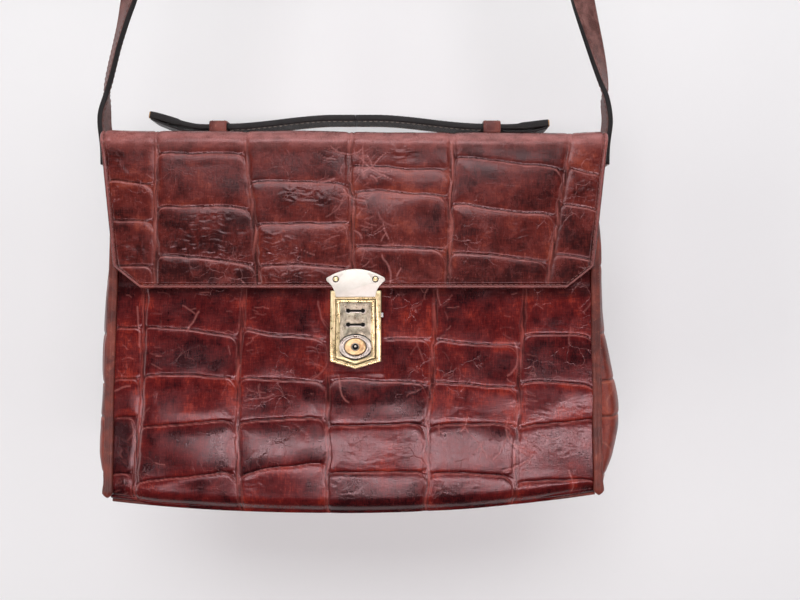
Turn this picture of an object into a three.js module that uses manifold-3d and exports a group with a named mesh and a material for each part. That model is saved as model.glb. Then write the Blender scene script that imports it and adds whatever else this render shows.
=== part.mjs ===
// A flap-over leather satchel hanging by its shoulder strap, in millimetres, +Z up, front towards -Y.
// The origin is the underside of the strap's arch, where a peg or a shoulder holds it.
// The bag's own parts are placed in a group whose zero height is the bag's top edge.
import * as THREE from "three";
import { mergeVertices } from "three/addons/utils/BufferGeometryUtils.js";
import Module from "manifold-3d";

const wasm = await Module();
wasm.setup();

// Bag body
const BAG_TOP = -518;
const BODY_HEIGHT = 250;
const PANEL_HALF_WIDTH = 165;
const TOP_HALF_DEPTH = 14.5;
const BASE_HALF_DEPTH = 29.5;
const SLOPE = (BASE_HALF_DEPTH - TOP_HALF_DEPTH) / BODY_HEIGHT;
const TILT = Math.atan(SLOPE);
const BELLY_DROP = 14;
const FRONT_TOP = -11;
const GUSSET_TOP = -6;
const BACK_PIPING_TOP = -44;
const LEATHER = 2;
const LINING = 1;
const BOARD = 1.5;
const GAP = 0.3;
const LINING_FACE = LEATHER + GAP;
const INNER_FACE = LINING_FACE + LINING;
const GUSSET_START = 166;
const GUSSET_INSET = 2.5;
const GUSSET_BOTTOM = -246.5;

// Flap
const FRONT_BEND = 10;
const BACK_BEND = 8;
const FLAP_CLEARANCE = 5.1;
const FLAP_TOP_HALF_WIDTH = 178;
const FLAP_LOW_HALF_WIDTH = 166.3;
const FLAP_LOW = -94;
const FLAP_BOTTOM = -109.5;
const FLAP_BOTTOM_HALF_WIDTH = 147;
const FLAP_BACK_HALF_WIDTH = 172;
const BACK_SPLIT = THREE.MathUtils.degToRad(2);
const FRONT_SPLIT = THREE.MathUtils.degToRad(1.5);

// Shoulder strap
const STRAP_WIDTH = 18;
const STRAP_THICKNESS = 3.6;
const STRAP_Y = -4;
const RIVET_Z = -16;
const ARCH_INNER_RADIUS = 85;

// Handle
const HANDLE_Y = -1.6;
const HANDLE_WIDTH = 18;
const HANDLE_THICKNESS = 4;
const HANDLE_FLAT_Z = 6.5;
const HANDLE_BOW_Z = 12.5;
const GRIP_HALF_LENGTH = 72;
const KEEPER_X = 97.5;
const KEEPER_LENGTH = 12;
const END_INNER_X = 76;
const END_FLAT_X = 123;
const END_TIPS = { left: { x: -145, z: 13.4 }, right: { x: 138, z: 9.5 } };

// Lock, in its own frame on the front panel: y = 0 is the leather's face and -y points out of it
const LOCK_X = 1.5;
const LOCK_Z = -137;
const CASE_HALF_WIDTH = 17.5;
const CASE_TOP = 25.8;
const CASE_SHOULDER = -23;
const CASE_TIP = -28.1;
const CASE_FRONT = -5;
const FACE_HALF_WIDTH = 13.4;
const FACE_TOP = 19.4;
const FACE_SHOULDER = -20.6;
const FACE_TIP = -25;
const FACE_FRONT = -5.7;
const BUTTON_Z = -12.9;
const BUTTON_HALF = [7.3, 5.75];
const RING_HALF = [11.2, 8.2];
const HASP_FRONT = -6.6;
const HASP_THICKNESS = 1.2;
const HASP_RIVETS = { x: 13.6, z: 33.5, hole: 1.4 };
const TONGUE = { halfWidth: 5.5, z: 23.7, thickness: 1.2 };
const STUDS = [[-15.6, 22.4], [15.6, 22.4], [-15.6, -19.6], [15.6, -19.6]];

// Finishes
const oxblood = { color: 0x4d1a18, roughness: 0.38, metalness: 0 };
const brownEdge = { color: 0x6e3324, roughness: 0.45, metalness: 0 };
const lining = { color: 0x8a6f52, roughness: 0.9, metalness: 0 };
const board = { color: 0xa08a68, roughness: 0.95, metalness: 0 };
const darkEdge = { color: 0x2a2222, roughness: 0.5, metalness: 0 };
const brass = { color: 0xb08d4a, roughness: 0.3, metalness: 1 };
const paleBrass = { color: 0xc8b998, roughness: 0.35, metalness: 1 };
const steel = { color: 0x9a9a98, roughness: 0.4, metalness: 1 };

const bag = new THREE.Group();
bag.position.z = BAG_TOP;
const root = new THREE.Group();
root.add(bag);

function place(parent, name, geometry, finish) {
  const mesh = new THREE.Mesh(geometry, new THREE.MeshStandardMaterial(finish));
  mesh.name = name;
  parent.add(mesh);
  return mesh;
}

// Solids and booleans

function toSolid(geometry) {
  const bare = geometry.clone();
  bare.deleteAttribute("normal");
  bare.deleteAttribute("uv");
  const merged = mergeVertices(bare, 1e-3);
  return new wasm.Manifold(
    new wasm.Mesh({
      numProp: 3,
      vertProperties: merged.attributes.position.array,
      triVerts: new Uint32Array(merged.index.array),
    }),
  );
}

function toGeometry(solid) {
  const mesh = solid.getMesh();
  return new THREE.BufferGeometry()
    .setAttribute("position", new THREE.BufferAttribute(mesh.vertProperties, 3))
    .setIndex(new THREE.BufferAttribute(mesh.triVerts, 1));
}

function cut(geometry, ...tools) {
  return toGeometry(
    tools.reduce((solid, tool) => solid.subtract(toSolid(tool)), toSolid(geometry)),
  );
}

function join(geometry, ...others) {
  return toGeometry(
    others.reduce((solid, other) => solid.add(toSolid(other)), toSolid(geometry)),
  );
}

// A closed sheet between an outer and an inner surface, each a function of u and v in 0..1.
function sheet(outer, inner, nu, nv) {
  const points = [];
  const index = [];
  const sides = [outer, inner];
  for (const side of sides)
    for (let i = 0; i <= nu; i++)
      for (let j = 0; j <= nv; j++) points.push(...side(i / nu, j / nv));
  const at = (side, i, j) => side * (nu + 1) * (nv + 1) + i * (nv + 1) + j;
  const quad = (a, b, c, d) => index.push(a, b, c, a, c, d);
  for (let i = 0; i < nu; i++)
    for (let j = 0; j < nv; j++) {
      quad(at(0, i, j), at(0, i + 1, j), at(0, i + 1, j + 1), at(0, i, j + 1));
      quad(at(1, i, j), at(1, i, j + 1), at(1, i + 1, j + 1), at(1, i + 1, j));
    }
  for (let i = 0; i < nu; i++) {
    quad(at(0, i, 0), at(1, i, 0), at(1, i + 1, 0), at(0, i + 1, 0));
    quad(at(0, i, nv), at(0, i + 1, nv), at(1, i + 1, nv), at(1, i, nv));
  }
  for (let j = 0; j < nv; j++) {
    quad(at(0, 0, j), at(0, 0, j + 1), at(1, 0, j + 1), at(1, 0, j));
    quad(at(0, nu, j), at(1, nu, j), at(1, nu, j + 1), at(0, nu, j + 1));
  }
  const geometry = new THREE.BufferGeometry()
    .setAttribute("position", new THREE.Float32BufferAttribute(points, 3))
    .setIndex(index);
  return facingOut(geometry);
}

function facingOut(geometry) {
  const p = geometry.attributes.position;
  const index = geometry.index.array;
  const [a, b, c] = [new THREE.Vector3(), new THREE.Vector3(), new THREE.Vector3()];
  let volume = 0;
  for (let i = 0; i < index.length; i += 3) {
    a.fromBufferAttribute(p, index[i]);
    b.fromBufferAttribute(p, index[i + 1]);
    c.fromBufferAttribute(p, index[i + 2]);
    volume += a.dot(b.cross(c));
  }
  if (volume < 0)
    for (let i = 0; i < index.length; i += 3)
      [index[i + 1], index[i + 2]] = [index[i + 2], index[i + 1]];
  return geometry;
}

function box(x0, x1, y0, y1, z0, z1) {
  const geometry = new THREE.BoxGeometry(x1 - x0, y1 - y0, z1 - z0);
  return geometry.translate((x0 + x1) / 2, (y0 + y1) / 2, (z0 + z1) / 2);
}

// A plate with its outline in x and z, from y = front to y = back.
function plate(outline, front, back, bevel = 0) {
  const geometry = new THREE.ExtrudeGeometry(outline, {
    depth: back - front - 2 * bevel,
    bevelEnabled: bevel > 0,
    bevelThickness: bevel,
    bevelSize: bevel,
    bevelOffset: -bevel,
    bevelSegments: 2,
    curveSegments: 8,
  });
  return geometry.rotateX(Math.PI / 2).translate(0, back - bevel, 0);
}

function cylinderAlongY(x, z, radius, y0, y1, sides = 20) {
  const geometry = new THREE.CylinderGeometry(radius, radius, y1 - y0, sides);
  return geometry.translate(x, (y0 + y1) / 2, z);
}

// A turned piece with its axis along Y: profile points are [radius, y], starting and ending on the axis.
function turned(profile, x = 0, z = 0, sides = 24) {
  const points = profile.map(([r, y]) => new THREE.Vector2(r, y));
  return new THREE.LatheGeometry(points, sides).translate(x, 0, z);
}

// Body surfaces

const depthAt = (z) => TOP_HALF_DEPTH - SLOPE * z;
const bellyAt = (x) =>
  -BODY_HEIGHT - 1 - BELLY_DROP * (1 - (x / (PANEL_HALF_WIDTH + 3)) ** 2);
const mix = THREE.MathUtils.lerp;

// A panel parallel to the front (side -1) or back (side 1) face, from inset a to inset b inwards.
function panel(side, a, b, halfWidth, top, lift) {
  const face = (inset) => (u, v) => {
    const x = mix(-halfWidth, halfWidth, u);
    const z = mix(bellyAt(x) + lift, top, v);
    return [x, side * (depthAt(z) - inset), z];
  };
  return sheet(face(a), face(b), 12, 2);
}

function gussetBulge(v) {
  return 9 + 9 * Math.sin(Math.PI * Math.min(1, v * 1.25)) * (1 - v);
}

function gusset(side, a, b, top) {
  const face = (inset) => (u, v) => {
    const angle = mix(-Math.PI / 2, Math.PI / 2, u);
    const z = mix(GUSSET_BOTTOM, top, v);
    const depth = depthAt(z) - GUSSET_INSET - inset;
    const bulge = gussetBulge(v) - inset;
    return [side * (GUSSET_START + bulge * Math.cos(angle)), depth * Math.sin(angle), z];
  };
  return sheet(face(a), face(b), 12, 8);
}

function rivetHoleAlongX(side) {
  const hole = new THREE.CylinderGeometry(2.4, 2.4, 40, 20).rotateZ(Math.PI / 2);
  return hole.translate(side * 175, STRAP_Y, RIVET_Z);
}

function addGussets() {
  for (const [label, side] of [["left", -1], ["right", 1]]) {
    const leather = cut(gusset(side, 0, LEATHER, GUSSET_TOP), rivetHoleAlongX(side));
    const inside = gusset(side, LINING_FACE, INNER_FACE, GUSSET_TOP - 1);
    place(bag, label + "_gusset", leather, brownEdge);
    place(bag, label + "_gusset_lining", cut(inside, rivetHoleAlongX(side)), lining);
  }
}

function addPiping() {
  const width = 4;
  for (const [depthName, face] of [["front", -1], ["back", 1]])
    for (const [label, side] of [["left", -1], ["right", 1]]) {
      const top = face < 0 ? FRONT_TOP - 2 : BACK_PIPING_TOP;
      const ridge = (inset) => (u, v) => {
        const z = mix(-BODY_HEIGHT, top, v);
        const x = PANEL_HALF_WIDTH + 0.4 + width * u;
        return [side * x, face * (depthAt(z) - inset), z];
      };
      const proud = face < 0 ? -1.5 : -1;
      const geometry = sheet(ridge(proud), ridge(GUSSET_INSET - GAP), 1, 2);
      place(bag, `${depthName}_${label}_piping`, geometry, brownEdge);
    }
}

function baseSheet(lift, thickness, halfLength, halfDepth, rim) {
  const face = (z0) => (u, v) => {
    const x = mix(-halfLength, halfLength, u);
    const y = mix(-halfDepth, halfDepth, v);
    return [x, y, bellyAt(x) + z0 + rim * Math.abs(y / halfDepth) ** 6];
  };
  return sheet(face(lift), face(lift + thickness), 12, 8);
}

function addBase() {
  const stiffenerLift = LEATHER + GAP;
  const liningLift = stiffenerLift + BOARD + GAP;
  place(bag, "base_panel", baseSheet(0, LEATHER, PANEL_HALF_WIDTH, 29, 1.8), oxblood);
  place(bag, "base_stiffener", baseSheet(stiffenerLift, BOARD, 158, 19, 0), board);
  place(bag, "base_lining", baseSheet(liningLift, LINING, 157, 18.5, 0), lining);
}

function addPartition() {
  const face = (y) => (u, v) => {
    const x = mix(-170, 170, u);
    return [x, y, mix(bellyAt(x) + 6.5, -22, v)];
  };
  place(bag, "divider", sheet(face(-0.9), face(0.9), 12, 2), lining);
}

function addPocket() {
  const tray = cut(
    box(-100, 100, -6.8, -GAP, -60, 60),
    box(-98.5, 98.5, -5.6, 1, -58.5, 61),
  );
  const holder = new THREE.Group();
  const z = -140;
  holder.position.set(0, depthAt(z) - INNER_FACE, z);
  holder.rotation.x = TILT;
  bag.add(holder);
  place(holder, "slip_pocket", tray, lining);
}

function addTopBinding() {
  const wall = 0.8;
  const outer = wall + GAP;
  const strip = cut(
    box(-160, 160, -outer, INNER_FACE + outer, -8, 0),
    box(-161, 161, -GAP, INNER_FACE + GAP, -9, -1.2),
  );
  const holder = new THREE.Group();
  holder.position.set(0, -depthAt(FRONT_TOP), FRONT_TOP + 1.5);
  holder.rotation.x = -TILT;
  bag.add(holder);
  place(holder, "front_top_binding", strip, brownEdge);
}

// Flap: the section is the outer face's path in y and z, bent over the back edge and the front edge

const backCentre = [
  depthAt(-BACK_BEND) - BACK_BEND * Math.cos(TILT),
  -BACK_BEND,
];
const frontCentre = [
  -depthAt(-FRONT_BEND) - FLAP_CLEARANCE + FRONT_BEND * Math.cos(TILT),
  -FRONT_BEND,
];
const backMiddle = (TILT + Math.PI / 2) / 2;
const frontMiddle = Math.PI - backMiddle;

function arcPoints(centre, radius, from, to, count) {
  return Array.from({ length: count + 1 }, (_, i) => {
    const angle = mix(from, to, i / count);
    const [ny, nz] = [Math.cos(angle), Math.sin(angle)];
    return { y: centre[0] + radius * ny, z: centre[1] + radius * nz, ny, nz };
  });
}

function sectionSheet(section, halfWidth, from, to, columns) {
  const rows = section.length - 1;
  const face = (inset) => (u, v) => {
    const s = section[Math.round(u * rows)];
    return [mix(-1, 1, v) * halfWidth(s), s.y - inset * s.ny, s.z - inset * s.nz];
  };
  return sheet(face(from), face(to), rows, columns);
}

function backPanelSection(top) {
  const straight = [-BODY_HEIGHT + 6, -120, -40].map((z) => ({
    y: depthAt(z),
    z,
    ny: Math.cos(TILT),
    nz: Math.sin(TILT),
  }));
  return [...straight, ...arcPoints(backCentre, BACK_BEND, TILT, top, 4)];
}

function addBackPanel() {
  const halfWidth = (s) =>
    mix(FLAP_BACK_HALF_WIDTH, PANEL_HALF_WIDTH, THREE.MathUtils.clamp((-s.z - 8) / 32, 0, 1));
  const section = backPanelSection(backMiddle - BACK_SPLIT);
  const upper = sectionSheet(section, halfWidth, 0, LEATHER, 4);
  const lower = panel(1, 0, LEATHER, PANEL_HALF_WIDTH, -BODY_HEIGHT + 30, 4.2);
  place(bag, "back_panel", join(upper, lower), oxblood);
  place(bag, "back_lining", panel(1, LINING_FACE, INNER_FACE, 162, -12, 4.4), lining);
}

function topSection() {
  const back = arcPoints(backCentre, BACK_BEND, backMiddle + BACK_SPLIT, Math.PI / 2, 4);
  const front = arcPoints(frontCentre, FRONT_BEND, Math.PI / 2, frontMiddle - FRONT_SPLIT, 4);
  return [...back, ...front];
}

function frontSection(bottom) {
  const bend = arcPoints(
    frontCentre, FRONT_BEND, frontMiddle + FRONT_SPLIT, Math.PI - TILT, 4,
  );
  const straight = [-50, FLAP_LOW, bottom].map((z) => ({
    y: -depthAt(z) - FLAP_CLEARANCE,
    z,
    ny: -Math.cos(TILT),
    nz: Math.sin(TILT),
  }));
  return [...bend, ...straight];
}

function topHalfWidth(margin) {
  return (s) => {
    const along = (backCentre[0] + BACK_BEND - s.y) / 30;
    const share = THREE.MathUtils.clamp(along, 0, 1);
    return mix(FLAP_BACK_HALF_WIDTH, FLAP_TOP_HALF_WIDTH, share) - margin;
  };
}

function frontHalfWidth(margin) {
  return (s) => {
    const taper = THREE.MathUtils.clamp(s.z / FLAP_LOW, 0, 1);
    const sides = mix(FLAP_TOP_HALF_WIDTH, FLAP_LOW_HALF_WIDTH, taper);
    const corner = THREE.MathUtils.clamp((s.z - FLAP_LOW) / (FLAP_BOTTOM - FLAP_LOW), 0, 1);
    return mix(sides, FLAP_BOTTOM_HALF_WIDTH, corner) - margin;
  };
}

const toLockFrame = (geometry) => geometry
  .clone()
  .rotateX(-TILT)
  .translate(LOCK_X, -depthAt(LOCK_Z), LOCK_Z);

function haspHoles() {
  const { x, z, hole } = HASP_RIVETS;
  return [-x, x].map((side) => cylinderAlongY(side, z, hole, -12, 0));
}

function addFlap() {
  const trim = 2;
  const holes = haspHoles().map(toLockFrame);
  const top = sectionSheet(topSection(), topHalfWidth(0), 0, LEATHER, 4);
  const topLining = sectionSheet(topSection(), topHalfWidth(trim), LINING_FACE, INNER_FACE, 4);
  const front = sectionSheet(frontSection(FLAP_BOTTOM), frontHalfWidth(0), 0, LEATHER, 6);
  const frontLining = sectionSheet(
    frontSection(FLAP_BOTTOM + trim), frontHalfWidth(trim), LINING_FACE, INNER_FACE, 6,
  );
  place(bag, "flap_top_panel", top, oxblood);
  place(bag, "flap_top_lining", topLining, lining);
  place(bag, "flap_front_panel", cut(front, ...holes), oxblood);
  place(bag, "flap_front_lining", cut(frontLining, ...holes), lining);
}

// Handle

function keeper() {
  const outer = HANDLE_WIDTH / 2 + 2.4;
  const half = KEEPER_LENGTH / 2;
  return cut(
    box(-half, half, HANDLE_Y - outer, HANDLE_Y + outer, GAP, 10.7),
    box(-half - 1, half + 1, HANDLE_Y - outer + 1.8, HANDLE_Y + outer - 1.8, 2.1, 8.9),
  );
}

// A strip along x whose middle height and thickness follow the two functions.
function strip(x0, x1, height, thickness, width, count) {
  const face = (side) => (u, v) => {
    const x = mix(x0, x1, u);
    const y = HANDLE_Y + mix(-width / 2, width / 2, v);
    return [x, y, height(x) + (side * thickness(x)) / 2];
  };
  return sheet(face(1), face(-1), count, 1);
}

function addHandle() {
  const bow = (x) =>
    mix(HANDLE_FLAT_Z, HANDLE_BOW_Z, Math.cos((Math.PI * x) / (2 * GRIP_HALF_LENGTH)) ** 2);
  const grip = strip(
    -GRIP_HALF_LENGTH, GRIP_HALF_LENGTH, bow, () => HANDLE_THICKNESS, HANDLE_WIDTH, 16,
  );
  place(bag, "handle_grip", grip, darkEdge);
  const rise = (tip) => (x) => {
    const t = (Math.abs(x) - END_FLAT_X) / (Math.abs(tip.x) - END_FLAT_X);
    return mix(HANDLE_FLAT_Z, tip.z, THREE.MathUtils.clamp(t, 0, 1));
  };
  const fold = (x) => (Math.abs(x) > END_FLAT_X + 2 ? 7 : HANDLE_THICKNESS);
  for (const [label, side] of [["left", -1], ["right", 1]]) {
    const tip = END_TIPS[label];
    const end = strip(side * END_INNER_X, tip.x, rise(tip), fold, HANDLE_WIDTH, 13);
    const loop = keeper().translate(side * KEEPER_X, 0, 0);
    place(bag, "handle_end_" + label, end, darkEdge);
    place(bag, "handle_keeper_" + label, loop, brownEdge);
  }
}

// Lock and hasp

const lock = new THREE.Group();
lock.position.set(LOCK_X, -depthAt(LOCK_Z), LOCK_Z);
lock.rotation.x = -TILT;
bag.add(lock);

function shieldOutline(halfWidth, top, shoulder, tip) {
  const outline = new THREE.Shape();
  outline.moveTo(-halfWidth, top);
  outline.lineTo(-halfWidth, shoulder);
  outline.lineTo(0, tip);
  outline.lineTo(halfWidth, shoulder);
  outline.lineTo(halfWidth, top);
  return outline;
}

function ovalPath(x, z, rx, rz, Kind = THREE.Path, sides = 32) {
  const around = Array.from({ length: sides }, (_, i) => (2 * Math.PI * i) / sides);
  return new Kind(around.map((a) => new THREE.Vector2(x + rx * Math.cos(a), z + rz * Math.sin(a))));
}

// Two round ends joined by a narrow waist.
function dumbbellPath(z) {
  const [end, radius, waist] = [5.05, 1.45, 0.7];
  const reach = Math.asin(waist / radius);
  const path = new THREE.Path();
  path.absarc(end, z, radius, -Math.PI + reach, Math.PI - reach, false);
  path.absarc(-end, z, radius, reach, 2 * Math.PI - reach, false);
  return path;
}

function addLockCase() {
  const { halfWidth, z, thickness } = TONGUE;
  const outline = shieldOutline(CASE_HALF_WIDTH, CASE_TOP, CASE_SHOULDER, CASE_TIP);
  outline.holes.push(
    shieldOutline(FACE_HALF_WIDTH + GAP, FACE_TOP + GAP, FACE_SHOULDER - 0.2, FACE_TIP - 0.4),
  );
  const body = cut(
    plate(outline, CASE_FRONT, -GAP, 0.6),
    box(-halfWidth - 0.8, halfWidth + 0.8, -6, 1, z - thickness / 2 - 0.6, z + 2.1),
    box(6.9, 12.4, -3.6, 1, FACE_TOP - 1, CASE_TOP - 0.9),
    box(13, 18, -3.8, 1, 6.6, 11.4),
  );
  place(lock, "lock_case", body, brass);
}

function addLockFace() {
  const outline = shieldOutline(FACE_HALF_WIDTH, FACE_TOP, FACE_SHOULDER, FACE_TIP);
  outline.holes.push(dumbbellPath(11.8), dumbbellPath(2.3));
  outline.holes.push(ovalPath(0, BUTTON_Z, BUTTON_HALF[0] + 0.5, BUTTON_HALF[1] + 0.5));
  place(lock, "lock_faceplate", plate(outline, FACE_FRONT, FACE_FRONT + 1.3, 0.25), paleBrass);
  const ring = ovalPath(0, BUTTON_Z, ...RING_HALF, THREE.Shape);
  ring.holes.push(ovalPath(0, BUTTON_Z, BUTTON_HALF[0] + 0.5, BUTTON_HALF[1] + 0.5));
  place(lock, "button_ring", plate(ring, -6.7, FACE_FRONT - GAP, 0.3), brass);
}

function addButton() {
  const front = -7.1;
  const outline = ovalPath(0, BUTTON_Z, ...BUTTON_HALF, THREE.Shape);
  const bore = cylinderAlongY(0, BUTTON_Z, 2.8, front - 1, 0);
  place(lock, "lock_button", cut(plate(outline, front, -0.6, 0.4), bore), brass);
  const [back, face, slotFloor] = [-0.9, front - 0.2, -4.4];
  const barrel = [
    [0, back], [2.5, back], [2.5, face + 0.2], [2.3, face],
    [1.7, face], [1.7, slotFloor], [0.6, slotFloor], [0.6, face + 0.4], [0, face + 0.1],
  ];
  place(lock, "key_barrel", facingOut(turned(barrel, 0, BUTTON_Z)), brass);
}

function spring(outer, inner, y0, y1, x, z) {
  const profile = [[inner, y0], [outer, y0], [outer, y1], [inner, y1], [inner, y0]];
  return turned(profile, x, z, 20);
}

function studHoles() {
  return STUDS.map(([x, z]) => cylinderAlongY(x, z, 1.5, -3, 8));
}

function addLockWorks() {
  const [plateFront, plateBack] = [INNER_FACE + GAP, INNER_FACE + GAP + 1];
  const backplate = cut(box(-17.4, 17.4, plateFront, plateBack, -22.5, 25), ...studHoles());
  place(lock, "lock_backplate", backplate, steel);
  STUDS.forEach(([x, z], i) => {
    const head = plateBack + GAP;
    const profile = [[0, 0], [1.1, 0], [1.1, head], [2.4, head], [2, head + 0.9], [0, head + 1]];
    place(lock, `lock_stud_${i + 1}`, facingOut(turned(profile, x, z)), brass);
  });
  const slider = join(
    box(-9, 12.4, -2.4, -1.2, 1.5, 14),
    box(7.6, 11, -2.4, -1.2, 13, CASE_TOP - 1.8),
    box(12, 18.9, -3.3, -1.2, 7.4, 10.6),
  );
  place(lock, "latch_slider", slider, steel);
  const coil = spring(1.3, 0.8, -12.9, -9.3, 0, 0).rotateZ(-Math.PI / 2);
  place(lock, "latch_spring", facingOut(coil.translate(0, -1.8, 6)), steel);
  const pusher = spring(3.6, 2.9, -GAP, plateFront - GAP, 0, BUTTON_Z);
  place(lock, "button_spring", facingOut(pusher), steel);
}

// The fan: an arc over the top, round tips at its sides, and sides that curve in to a short foot.
function haspOutline() {
  const outline = new THREE.Shape();
  const [foot, footZ, tip, tipZ, crown] = [13.5, 21.3, 20, 33.4, 40.6];
  outline.moveTo(-foot, footZ);
  outline.quadraticCurveTo(-foot - 1, footZ + 7, -tip, tipZ - 1);
  outline.quadraticCurveTo(-tip - 0.6, tipZ + 0.6, -tip + 0.6, tipZ + 1.4);
  outline.quadraticCurveTo(0, 2 * crown - tipZ - 1.4, tip - 0.6, tipZ + 1.4);
  outline.quadraticCurveTo(tip + 0.6, tipZ + 0.6, tip, tipZ - 1);
  outline.quadraticCurveTo(foot + 1, footZ + 7, foot, footZ);
  return outline;
}

function addHasp() {
  const back = HASP_FRONT + HASP_THICKNESS;
  const { x, z } = HASP_RIVETS;
  const { halfWidth, z: tongueZ, thickness } = TONGUE;
  const fan = plate(haspOutline(), HASP_FRONT, back, 0.3);
  place(lock, "hasp_plate", cut(fan, ...haspHoles()), paleBrass);
  const tongue = box(
    -halfWidth, halfWidth, back + GAP, -1.5, tongueZ - thickness / 2, tongueZ + thickness / 2,
  );
  place(lock, "hasp_tongue", tongue, steel);
  const inside = box(-17, 17, -1.5, -0.9, z - 4, z + 4);
  place(lock, "hasp_backplate", cut(inside, ...haspHoles()), steel);
  for (const [label, side] of [["left", -1], ["right", 1]]) {
    const profile = [
      [0, -0.3], [1.9, -0.3], [1.9, -0.6], [1, -0.6], [1, HASP_FRONT - GAP],
      [1.7, HASP_FRONT - GAP], [1.3, HASP_FRONT - 0.8], [0, HASP_FRONT - 1],
    ];
    place(lock, "hasp_rivet_" + label, facingOut(turned(profile, side * x, z)), brass);
  }
}

function addFrontPanel() {
  const buttonHole = box(-9, 9, -3, 8, BUTTON_Z - 7.5, BUTTON_Z + 7.5);
  const cuts = [buttonHole, ...studHoles()].map(toLockFrame);
  const leather = panel(-1, 0, LEATHER, PANEL_HALF_WIDTH, FRONT_TOP, 4.2);
  const inside = panel(-1, LINING_FACE, INNER_FACE, 162, FRONT_TOP - 1, 4.4);
  place(bag, "front_panel", cut(leather, ...cuts), oxblood);
  place(bag, "front_lining", cut(inside, ...cuts), lining);
}

// Shoulder strap: half of its path, from the end at the bag up to the top of the arch.
// Each station is [x, z, twist], z from the bag's top edge and twist in degrees about the path.

function strapStations() {
  const leg = [
    [178.9, -24, 0], [178.9, -8, 0], [180.6, 2, 0], [181.8, 9, 2], [181.9, 16, 5], [181, 22.5, 9],
    [180.1, 29, 17], [179.9, 35.5, 28], [178.8, 42, 36], [176, 54.6, 42], [173.2, 67.5, 46],
    [168.2, 87, 56], [165.2, 100, 66],
  ];
  const radius = ARCH_INNER_RADIUS + STRAP_THICKNESS / 2;
  const centreZ = -BAG_TOP - ARCH_INNER_RADIUS;
  const [x0, z0] = leg.at(-1);
  const reach = Math.hypot(x0, centreZ - z0);
  const lean = Math.atan2(x0, centreZ - z0) - Math.asin(radius / reach);
  const length = Math.sqrt(reach ** 2 - radius ** 2);
  const run = [];
  for (let i = 1; i < 9; i++) {
    const t = i / 9;
    const twist = 66 * (1 - THREE.MathUtils.smoothstep(t, 0.25, 1));
    run.push([x0 - length * t * Math.sin(lean), z0 + length * t * Math.cos(lean), twist]);
  }
  const arch = [];
  for (let i = 0; i <= 10; i++) {
    const angle = mix(lean, Math.PI / 2, i / 10);
    arch.push([radius * Math.cos(angle), centreZ + radius * Math.sin(angle), 0]);
  }
  return [...leg, ...run, ...arch];
}

function addStrap() {
  const half = strapStations();
  const mirrored = half.slice(0, -1).reverse().map(([x, z, twist]) => [-x, z, twist]);
  const stations = [...half, ...mirrored];
  const middle = stations.map(([x, z]) => new THREE.Vector3(x, STRAP_Y, z));
  const frame = stations.map(([, , twist], i) => {
    const before = middle[Math.max(0, i - 1)];
    const after = middle[Math.min(stations.length - 1, i + 1)];
    const tangent = after.clone().sub(before).normalize();
    const across = new THREE.Vector3(0, 1, 0).applyAxisAngle(
      tangent, THREE.MathUtils.degToRad(-twist),
    );
    return { across, out: across.clone().cross(tangent).normalize() };
  });
  const last = stations.length - 1;
  const face = (side) => (u, v) => {
    const i = Math.round(u * last);
    const p = middle[i].clone().addScaledVector(frame[i].across, (v - 0.5) * STRAP_WIDTH);
    return p.addScaledVector(frame[i].out, (side * STRAP_THICKNESS) / 2).toArray();
  };
  const holes = [-1, 1].map(rivetHoleAlongX);
  place(bag, "shoulder_strap", cut(sheet(face(1), face(-1), last, 2), ...holes), oxblood);
}

function addStrapRivets() {
  for (const [label, side] of [["left", -1], ["right", 1]]) {
    const profile = [
      [0, 168.4], [3.4, 168.4], [3.4, 169.4], [1.9, 169.4], [1.9, 181],
      [4.4, 181], [3.4, 182.1], [0, 182.5],
    ];
    const rivet = facingOut(turned(profile)).rotateZ(-side * Math.PI / 2);
    place(bag, "strap_rivet_" + label, rivet.translate(0, STRAP_Y, RIVET_Z), brass);
    const ring = [[2.4, 175.6], [6, 175.6], [6, 176.8], [2.4, 176.8], [2.4, 175.6]];
    const washer = facingOut(turned(ring)).rotateZ(-side * Math.PI / 2);
    place(bag, "strap_washer_" + label, washer.translate(0, STRAP_Y, RIVET_Z), darkEdge);
  }
}

addFrontPanel();
addBackPanel();
addGussets();
addPiping();
addBase();
addPartition();
addPocket();
addTopBinding();
addFlap();
addHandle();
addLockCase();
addLockFace();
addButton();
addLockWorks();
addHasp();
addStrap();
addStrapRivets();

export default root;
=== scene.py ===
"""A flap-over crocodile-embossed satchel hanging by its shoulder strap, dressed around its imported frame.

Lengths are in millimetres in the bag's own frame: x to the right, y to the back, z up from the bag's
top edge. put() turns them into the row frame's metres.
"""
import math

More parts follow.
